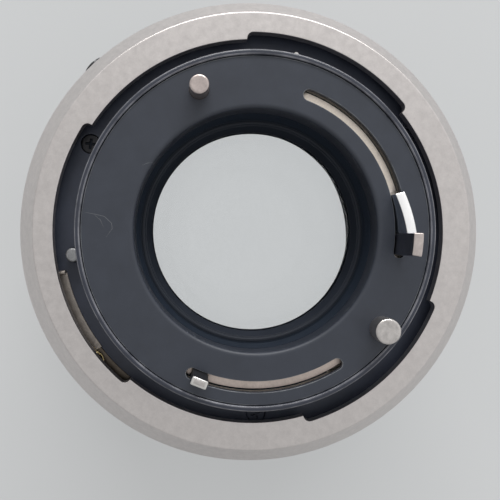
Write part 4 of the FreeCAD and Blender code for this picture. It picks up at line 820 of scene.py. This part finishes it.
def lens(name, nodes, rear, front, rear_vertex, front_vertex, material, shoulder, steps=36):
    """Ground glass between two spherical surfaces.

    rear and front give the radius of the curve, of the clear surface and of the edge. At the shoulder the
    edge steps from one edge radius to the other.
    """
    def surface(curve, clear, vertex):
        return [(clear * k / steps, vertex + sag(curve, clear * k / steps)) for k in range(steps + 1)]
    profile = surface(rear[0], rear[1], rear_vertex)
    rim = (rear[2], profile[-1][1])
    other = surface(front[0], front[1], front_vertex)
    profile[0] = (0.002, profile[0][1])
    other[0] = (0.002, other[0][1])
    profile += [(rim[0], rim[1] - 0.1), (rim[0], shoulder), (front[2], shoulder),
                (front[2], other[-1][1] + 0.1)]
    profile += list(reversed(other))
    verts, faces = revolve(profile, even_angles(160))
    faces = [tuple(reversed(f)) for f in faces]
    return piece(name, verts, faces, material, "optic_unit", "coated_glass", nodes, sharp=30,
                 weighted=False)


REAR_VERTEX = top("glass_element_6")
DOUBLET_VERTEX = top("glass_element_5")
FRONT_DOUBLET_VERTEX = low("glass_element_2")
FRONT_VERTEX = low("glass_element_1")
lens("rear_element", ("glass_element_6",), (-42.0, 13.8, 13.85), (110.0, 13.8, 13.85), REAR_VERTEX,
     REAR_VERTEX - 4.0, REAR_GLASS, REAR_VERTEX - 3.0)
lens("rear_doublet", ("glass_element_5", "glass_element_4"), (-30.0, 13.5, 13.55), (-17.0, 11.3, 12.15),
     DOUBLET_VERTEX, DOUBLET_VERTEX - 6.93, REAR_GLASS, DOUBLET_VERTEX - 4.05)
lens("front_doublet", ("glass_element_3", "glass_element_2"), (15.5, 11.0, 12.55), (21.0, 13.1, 13.15),
     FRONT_DOUBLET_VERTEX + 7.93, FRONT_DOUBLET_VERTEX, FRONT_GLASS, FRONT_DOUBLET_VERTEX + 7.6)
lens("front_element", ("glass_element_1",), (150.0, 14.9, 14.95), (34.0, 14.9, 14.95), FRONT_VERTEX + 4.6,
     FRONT_VERTEX, FRONT_GLASS, FRONT_VERTEX + 4.0)

RETAINER_LOW = low("rear_retaining_ring")
CONE_IN_R = 13.74
CONE_OUT_R = 15.0
lathe("rear_retaining_cone", [
    (CONE_IN_R, RETAINER_LOW + 0.02, 0), (13.92, RETAINER_LOW + 0.02, 0),
    (CONE_OUT_R, RETAINER_LOW + 0.12, 0), (CONE_OUT_R, REAR_CELL_TOP, 0.05), (14.62, REAR_CELL_TOP, 0.08),
    (14.5, REAR_CELL_TOP - 0.25, 0.05), (14.38, REAR_CELL_TOP - 0.22, 0.05),
    (CONE_IN_R, RETAINER_LOW + 0.2, 0.05)],
    MATT_BLACK, "optic_unit", "black_anodised", ("rear_retaining_ring",), segments=256, weighted=False)


# ---------------------------------------------------------------- scales, index marks and filter thread

MARK_HEIGHT = 0.02
INK_TOP = 0.005
INFINITY_LINE = 0.11


def word(text, size):
    """Vertices and faces of a word, centred and lying flat."""
    curve = bpy.data.curves.new("word", "FONT")
    curve.body = text
    curve.size = size
    curve.align_x = "CENTER"
    curve.align_y = "CENTER"
    curve.resolution_u = 4
    curve.extrude = MARK_HEIGHT
    holder = bpy.data.objects.new("word", curve)
    bpy.context.scene.collection.objects.link(holder)
    mesh = bpy.data.meshes.new_from_object(holder)
    verts = [tuple(v.co) for v in mesh.vertices]
    faces = [tuple(f.vertices) for f in mesh.polygons]
    bpy.data.objects.remove(holder)
    bpy.data.curves.remove(curve)
    bpy.data.meshes.remove(mesh)
    return verts, faces


def stroke(width, length):
    """Straight mark along the optical axis."""
    return soft_block((width, length, 2 * MARK_HEIGHT), 0.01)


def endless(size):
    """Lying figure of eight for the infinity mark."""
    verts, faces = [], []
    steps = 64
    for k in range(steps):
        t = 2 * math.pi * k / steps
        down = 1 + math.sin(t) ** 2
        centre = Vector((size * math.cos(t) / down, size * 1.25 * math.sin(t) * math.cos(t) / down, 0))
        ahead = Vector((-math.sin(t), math.cos(2 * t), 0)).normalized()
        across = ahead.cross(Vector((0, 0, 1))) * INFINITY_LINE
        for sideways, z in ((across, -MARK_HEIGHT), (across, MARK_HEIGHT), (-across, MARK_HEIGHT),
                            (-across, -MARK_HEIGHT)):
            verts.append(tuple(centre + sideways + Vector((0, 0, z))))
        n = (k + 1) % steps
        for corner in range(4):
            after = (corner + 1) % 4
            faces.append((4 * k + corner, 4 * k + after, 4 * n + after, 4 * n + corner))
    return verts, faces


def dot(radius, depth):
    """Round inlay that fills a flute up to the surface."""
    profile = rounded([(0.001, -depth, 0), (radius, -depth, 0), (radius, 0, 0.06), (0.001, 0.0, 0)])
    return revolve(profile, even_angles(40))


def marks(name, items, radius, material, body, slot):
    """One piece from marks (shape, angle, height) bent round a ring, their tops towards the front."""
    verts, faces = [], []
    for (flat, flat_faces), angle, height in items:
        start = len(verts)
        for x, y, z in flat:
            verts.append(tuple(polar(radius + INK_TOP + z, angle - math.degrees(x / radius), height - y)))
        faces.extend(tuple(start + index for index in face) for face in flat_faces)
    piece(name, verts, faces, material, body, slot, weighted=False)


APERTURE_TURN = 50.0
WIDEST = 1.8
SMALLEST = 16
FOCUS_TURN_PER_MM = 180.0 / 5.1
FOCAL_LENGTH = 50.0
BLUR = 0.03
BAND_R = FOCUS_R - 0.2
DEPTH_R = FOCUS_R - 0.1
# Heights of the rows of marks
STOP_NUMBERS_Z = 31.35
STOP_LINES_Z = 29.75
INFRARED_Z = 28.35
DEPTH_NUMBERS_Z = 27.0
INDEX_LINE_Z = 26.7
DEPTH_LINES_Z = 25.3
SHORT_LINES_Z = 25.05
METRES_Z = 22.75
FEET_Z = 20.3
INDEX_DOT_Z = 41.0


def aperture_angle(stop):
    """Place on the aperture ring of a stop, even steps for even changes of light."""
    return INDEX_ANGLE - APERTURE_TURN * math.log(stop / WIDEST) / math.log(SMALLEST / WIDEST)


def focus_angle(metres):
    """Place on the focusing ring of a distance, from how far the lens has to move for it."""
    return INDEX_ANGLE - FOCUS_TURN_PER_MM * FOCAL_LENGTH ** 2 / (1000 * metres - 2 * FOCAL_LENGTH)


stops = (WIDEST, 2.8, 4, 5.6, 8, 11, SMALLEST)
aperture_items = [(word("%g" % stop, 2.3), aperture_angle(stop), STOP_NUMBERS_Z) for stop in stops]
aperture_items += [(stroke(0.16, 0.5), aperture_angle(stop), STOP_LINES_Z) for stop in stops]
marks("aperture_numbers", aperture_items, BAND_R, WHITE, "aperture_control", "black_anodised")

depth_items = [(stroke(0.22, 4.3), INDEX_ANGLE, INDEX_LINE_Z)]
for stop in (4, 8, 16):
    off = stop * BLUR * FOCUS_TURN_PER_MM
    for side in (-1, 1):
        depth_items.append((stroke(0.13, 1.5), INDEX_ANGLE + side * off, DEPTH_LINES_Z))
        depth_items.append((word("%g" % stop, 1.7), INDEX_ANGLE + side * off, DEPTH_NUMBERS_Z))
for stop in (5.6, 11):
    off = stop * BLUR * FOCUS_TURN_PER_MM
    depth_items += [(stroke(0.11, 1.0), INDEX_ANGLE + side * off, SHORT_LINES_Z) for side in (-1, 1)]
marks("depth_marks", depth_items, DEPTH_R, WHITE, "mount_body", "black_anodised")
marks("infrared_mark", [(stroke(0.2, 0.9), INDEX_ANGLE - 7.0, INFRARED_Z)], DEPTH_R, RED, "mount_body",
      "black_anodised")

# Distance scales, each with the infinity mark at the index and its unit beside it
NUMBER_SIZE = 1.9
INFINITY_HALF = 1.15
UNIT_OFF = 9.5
for name, distances, unit, sign, height, material in (
        ("metre_scale", (0.6, 0.7, 0.8, 1, 1.2, 1.5, 2, 3, 5, 10), 1.0, "m", METRES_Z, WHITE),
        ("foot_scale", (2, 2.5, 3, 4, 5, 7, 10, 15, 30), 0.3048, "ft", FEET_Z, ORANGE)):
    items = [(word("%g" % far, NUMBER_SIZE), focus_angle(far * unit), height) for far in distances]
    items += [(endless(INFINITY_HALF), INDEX_ANGLE, height),
              (word(sign, NUMBER_SIZE), INDEX_ANGLE + UNIT_OFF, height)]
    marks(name, items, FOCUS_R, material, "focus_control", "black_anodised")
marks("mount_index", [(dot(0.95, 0.42), INDEX_ANGLE, INDEX_DOT_Z)], RING_R - 0.01, RED, "breech_ring",
      "satin_silver")

FILTER_R = 27.5
THREAD_PITCH = 0.75
THREAD_DEPTH = 0.36
THREAD_TURNS = 5
THREAD_TOP = 4.3
wall = FILTER_R + 0.01
valley = FILTER_R - 0.02
crest = FILTER_R - THREAD_DEPTH
thread = [(wall, 0.45, 0), (wall, THREAD_TOP + 0.1, 0)]
for turn_number in range(THREAD_TURNS):
    z = THREAD_TOP - turn_number * THREAD_PITCH
    thread += [(valley, z, 0), (crest, z - 0.3, 0.04), (crest, z - 0.42, 0.04)]
thread.append((valley, THREAD_TOP - THREAD_TURNS * THREAD_PITCH, 0))
lathe("filter_thread", thread, RING_BLACK, "optic_unit", "black_anodised", segments=256, weighted=False)


# ---------------------------------------------------------------- carried-over pieces

FINISH = {
    BAND_PAINTED_LIGHT: ("signal_lever_carrier", "automatic_lever_carrier"),
    BRONZE: ("helicoid_sleeve", "guide_keys"),
    STEEL: ("aperture_coupling_pin", "click_ball", "click_spring", "iris_drive_ring"),
    RING_BLACK: ("mount_barrel", "breech_keeper_ring", "front_barrel", "depth_scale_ring", "aperture_ring",
                 "focus_ring", "filter_ring", "name_ring", "lock_button"),
    DEEP_BLACK: ("front_cell", "rear_cell", "front_spacer", "rear_spacer", "iris_housing",
                 "front_retaining_ring"),
    RUBBER: ("focus_grip",),
    DARK_STEEL: tuple("iris_blade_%d" % index for index in range(1, 7)),
}
SOFT_EDGED = ("focus_grip", "aperture_ring", "focus_ring", "depth_scale_ring", "filter_ring", "name_ring",
              "lock_button", "front_retaining_ring", "signal_lever_carrier", "automatic_lever_carrier")
for material, nodes in FINISH.items():
    for node in nodes:
        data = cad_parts[node].data
        data.materials.clear()
        data.materials.append(material)
for node in SOFT_EDGED:
    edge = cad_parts[node].modifiers.new("soft_edge", "BEVEL")
    edge.width = 0.08 * MM
    edge.segments = 2
    edge.limit_method = "ANGLE"
    edge.angle_limit = math.radians(38)
    edge.use_clamp_overlap = False
    edge.harden_normals = True


# ---------------------------------------------------------------- floor, light and camera

FLOOR_GLOW = 0.5
FLOOR_HALF = 1.5


def floor_material():
    """Pale matt floor, evenly bright where it is seen through the glass."""
    material, tree, principled, add = shader("pale_floor")
    place = add("ShaderNodeTexCoord").outputs["Object"]
    soft = add("ShaderNodeTexNoise", {"Vector": place, "Scale": 14.0, "Detail": 3.0})
    colour = ramp(add, soft.outputs["Fac"], [(0.3, (0.575, 0.585, 0.59)), (0.7, (0.61, 0.615, 0.62))])
    tree.links.new(colour, principled.inputs["Base Color"])
    principled.inputs["Roughness"].default_value = 0.9
    principled.inputs["Specular IOR Level"].default_value = 0.1
    through = add("ShaderNodeEmission", {"Color": (0.60, 0.625, 0.63, 1), "Strength": 1.0})
    path = add("ShaderNodeLightPath")
    pale = add("ShaderNodeEmission", {"Color": (0.60, 0.61, 0.61, 1), "Strength": 1.0})
    share = add("ShaderNodeMath", {0: path.outputs["Is Camera Ray"], 1: FLOOR_GLOW}, operation="MULTIPLY")
    seen = add("ShaderNodeMixShader", {0: share.outputs["Value"], 1: principled.outputs["BSDF"],
                                       2: pale.outputs["Emission"]})
    mix = add("ShaderNodeMixShader", {0: path.outputs["Is Transmission Ray"], 1: seen.outputs["Shader"],
                                      2: through.outputs["Emission"]})
    output = next(n for n in tree.nodes if n.type == "OUTPUT_MATERIAL")
    tree.links.new(mix.outputs["Shader"], output.inputs["Surface"])
    return material


floor_mesh = bpy.data.meshes.new("floor")
floor_mesh.from_pydata([(-FLOOR_HALF, -FLOOR_HALF, 0), (FLOOR_HALF, -FLOOR_HALF, 0),
                        (FLOOR_HALF, FLOOR_HALF, 0), (-FLOOR_HALF, FLOOR_HALF, 0)], [], [(0, 1, 2, 3)])
floor = bpy.data.objects.new("floor", floor_mesh)
bpy.context.scene.collection.objects.link(floor)
floor_mesh.materials.append(floor_material())

PHOTO_RIGHT = polar(1, PHOTO_TURN)
PHOTO_UP = polar(1, PHOTO_TURN + 90)
UP = Vector((0, 0, 1))

# The room is brighter towards the upper right of the photograph
ROOM_DIM = 0.46
ROOM_BRIGHT = 0.95
world = bpy.data.worlds.new("studio")
bpy.context.scene.world = world
world.use_nodes = True
sky = world.node_tree
background = next(n for n in sky.nodes if n.type == "BACKGROUND")
direction = sky.nodes.new("ShaderNodeTexCoord")
towards = sky.nodes.new("ShaderNodeVectorMath")
towards.operation = "DOT_PRODUCT"
towards.inputs[1].default_value = polar(1, PHOTO_TURN + 45)
sky.links.new(direction.outputs["Generated"], towards.inputs[0])
soft = sky.nodes.new("ShaderNodeMapRange")
soft.inputs["From Min"].default_value = -1.0
soft.inputs["From Max"].default_value = 1.0
soft.inputs["To Min"].default_value = ROOM_DIM
soft.inputs["To Max"].default_value = ROOM_BRIGHT
sky.links.new(towards.outputs["Value"], soft.inputs["Value"])
sky.links.new(soft.outputs["Result"], background.inputs["Strength"])
background.inputs["Color"].default_value = (0.98, 0.99, 1.0, 1)


def lamp(name, place, size, power, target=Vector((0, 0, 0.048))):
    """Area lamp at a place in metres that looks at the mount."""
    light = bpy.data.lights.new(name, "AREA")
    light.shape = "RECTANGLE"
    light.size, light.size_y = size
    light.energy = power
    obj = bpy.data.objects.new(name, light)
    bpy.context.scene.collection.objects.link(obj)
    obj.location = place
    obj.rotation_mode = "QUATERNION"
    obj.rotation_quaternion = (target - place).to_track_quat("-Z", "Y")
    return obj


WINDOW_PLACE = PHOTO_UP * 1.0 + PHOTO_RIGHT * 0.1 + UP * 0.55
WINDOW_SIZE = (1.0, 0.3)
WINDOW_POWER = 11
window_light = lamp("window_light", WINDOW_PLACE, WINDOW_SIZE, WINDOW_POWER)
window_light.visible_transmission = False

# The camera looks at the mount from behind; its place was fitted to the circles in the photograph
CAMERA_HEIGHT = 90.88
CAMERA_RIGHT = -8.13
CAMERA_UP = -1.93
CAMERA_PAN = 2.0
CAMERA_SHIFT = (0.0672, -0.0091)
FOCAL = 48.92
camera_data = bpy.data.cameras.new("camera")
camera_data.lens = FOCAL
camera_data.shift_x, camera_data.shift_y = CAMERA_SHIFT
camera_data.sensor_width = 36.0
camera_data.clip_start = 0.005
camera = bpy.data.objects.new("camera", camera_data)
bpy.context.scene.collection.objects.link(camera)
basis = Matrix((PHOTO_RIGHT, PHOTO_UP, UP)).transposed()
turned = basis @ Matrix.Rotation(-math.radians(CAMERA_PAN), 3, "Y")
spot = (PHOTO_RIGHT * CAMERA_RIGHT + PHOTO_UP * CAMERA_UP + UP * (RING_TOP + CAMERA_HEIGHT)) * MM
camera.matrix_world = Matrix.Translation(spot) @ turned.to_4x4()
bpy.context.scene.camera = camera
bpy.context.scene.view_settings.view_transform = "Standard"

bpy.context.view_layer.update()
